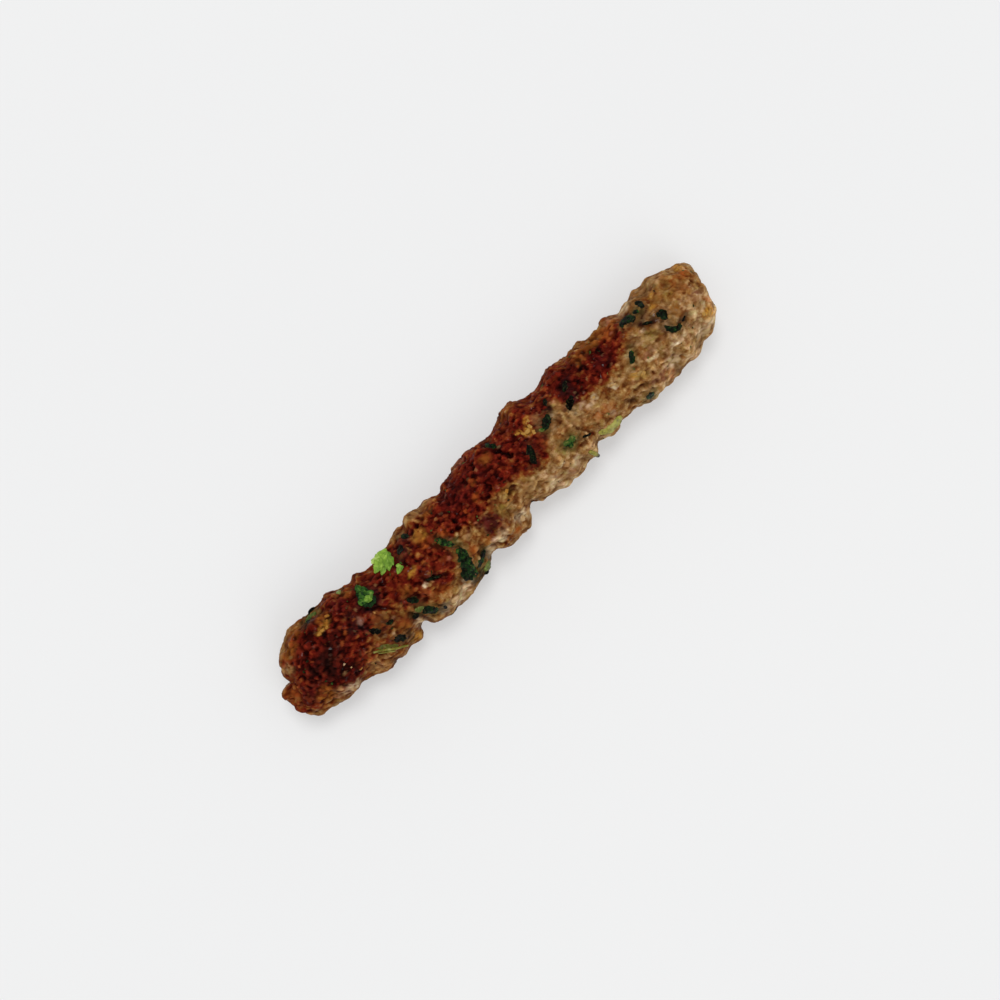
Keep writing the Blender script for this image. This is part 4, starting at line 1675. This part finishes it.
def stalk_material():
    t = Tree("herb_stalk")
    mottle = t.noise(520.0, 3.0, 0.6, distort=1.0)
    amount = t.add(t.value("tone"), t.span(mottle, 0.3, 0.7, -0.09, 0.09))
    base = t.ramp(
        amount,
        [
            (0.00, srgb(14, 12, 8)),
            (0.20, srgb(50, 48, 16)),
            (0.40, srgb(92, 86, 26)),
            (0.60, srgb(140, 132, 52)),
            (0.80, srgb(168, 166, 70)),
            (1.00, srgb(198, 196, 118)),
        ],
    )
    # paler streaks along it, and the mince laps over its rim
    base = t.mix(t.span(t.noise(300.0, 2.0, 0.5), 0.50, 0.68, 0.0, 0.45), base, srgb(176, 172, 108))
    lap = t.math("MULTIPLY", t.value("rim"), t.span(t.noise(1000.0, 2.0), 0.38, 0.60, 0.3, 1.0))
    base = t.mix(t.span(lap, 0.25, 0.90, 0.0, 0.75), base, srgb(96, 74, 34))
    t.feed(t.shader.inputs["Base Color"], base)
    t.feed(t.shader.inputs["Roughness"], t.span(mottle, 0.3, 0.7, 0.30, 0.5))
    t.finish(Specular_IOR_Level=0.10)
    t.feed(t.shader.inputs["Normal"], t.bump(t.noise(1200.0, 3.0, 0.6), 0.00016, 0.7))
    return t.material


def onion_material():
    t = Tree("onion_and_fat")
    mottle = t.noise(700.0, 3.0, 0.6)
    amount = t.add(t.value("tone"), t.span(mottle, 0.3, 0.7, -0.12, 0.12))
    base = t.ramp(
        amount,
        [
            (0.00, srgb(198, 166, 136)),
            (0.20, srgb(180, 146, 102)),
            (0.45, srgb(168, 128, 64)),
            (0.70, srgb(164, 115, 42)),
            (0.90, srgb(152, 98, 32)),
            (1.00, srgb(120, 68, 22)),
        ],
    )
    fine = t.noise(1700.0, 3.0, 0.6)
    base = t.mix(t.span(fine, 0.52, 0.72, 0.0, 0.5), base, srgb(96, 52, 22))
    # its sides are browned and take the juices of the mince
    lap = t.math("MULTIPLY", t.value("rim"), t.span(t.noise(1100.0, 2.0), 0.38, 0.60, 0.45, 1.0))
    base = t.mix(t.span(lap, 0.20, 0.80, 0.0, 0.65), base, srgb(112, 70, 32))
    t.feed(t.shader.inputs["Base Color"], base)
    t.feed(t.shader.inputs["Roughness"], t.span(mottle, 0.3, 0.7, 0.28, 0.5))
    t.finish(Specular_IOR_Level=0.10)
    t.feed(t.shader.inputs["Normal"], t.bump(t.noise(1100.0, 3.0, 0.6), 0.00022, 0.8))
    return t.material


# =========================================================================================
# floor, light and camera
# =========================================================================================
def make_stage():
    bm = bmesh.new()
    bmesh.ops.create_grid(bm, x_segments=1, y_segments=1, size=3.0)
    mesh = bpy.data.meshes.new("floor")
    bm.to_mesh(mesh)
    bm.free()
    floor = bpy.data.objects.new("floor", mesh)
    bpy.context.scene.collection.objects.link(floor)
    t = Tree("pale_floor")
    shade = t.ramp(t.noise(3.0, 2.0), [(0.3, (0.47, 0.47, 0.47)), (0.7, (0.48, 0.48, 0.478))])
    t.feed(t.shader.inputs["Base Color"], shade)
    # a light table: it glows a little, so the shadow round the roll stays pale
    t.finish(Roughness=0.8, Specular_IOR_Level=0.1, Emission_Color=(1.0, 1.0, 1.0, 1.0))
    t.finish(Emission_Strength=0.34)
    mesh.materials.append(t.material)

    world = bpy.data.worlds.new("studio")
    bpy.context.scene.world = world
    world.use_nodes = True
    back = world.node_tree.nodes["Background"]
    back.inputs[0].default_value = (0.98, 0.99, 1.0, 1.0)
    back.inputs[1].default_value = 0.66
    world.cycles_visibility.glossy = False
    # the paper behind the roll is as pale as the floor
    nodes, links = world.node_tree.nodes, world.node_tree.links
    paper = nodes.new("ShaderNodeBackground")
    paper.inputs[0].default_value = (0.86, 0.86, 0.86, 1.0)
    choice = nodes.new("ShaderNodeMixShader")
    links.new(nodes.new("ShaderNodeLightPath").outputs["Is Camera Ray"], choice.inputs[0])
    links.new(back.outputs[0], choice.inputs[1])
    links.new(paper.outputs[0], choice.inputs[2])
    links.new(choice.outputs[0], nodes["World Output"].inputs[0])

    def lamp(name, place, spread, strength):
        data = bpy.data.lights.new(name, "SUN")
        data.angle = math.radians(spread)
        data.energy = strength
        made = bpy.data.objects.new(name, data)
        bpy.context.scene.collection.objects.link(made)
        made.location = place
        made.rotation_euler = (-Vector(place)).to_track_quat("-Z", "Y").to_euler()

    high = Vector((0.0, 0.0, 1.0))
    lamp("key", UP * 0.40 - RIGHT * 0.10 + high, 26.0, 1.24)
    lamp("fill", -UP * 0.80 + RIGHT * 0.60 + high, 40.0, 0.50)


def make_camera():
    data = bpy.data.cameras.new("camera")
    data.lens = LENS
    data.sensor_width = SENSOR
    data.clip_start, data.clip_end = 0.01, 20.0
    camera = bpy.data.objects.new("camera", data)
    bpy.context.scene.collection.objects.link(camera)
    camera.location = EYE * MM
    camera.rotation_euler = (0.0, 0.0, -math.radians(TURN))
    bpy.context.scene.camera = camera
    bpy.context.scene.view_settings.view_transform = "Standard"


# =========================================================================================
make_camera()
make_stage()

skin = Skin()
roll = bpy.data.objects.new("kofta_meat", roll_mesh(skin))
bpy.context.scene.collection.objects.link(roll)
roll.data.materials.append(meat_material())
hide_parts("kofta")
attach(roll, "root")

make_bits(skin, make_greens(skin))
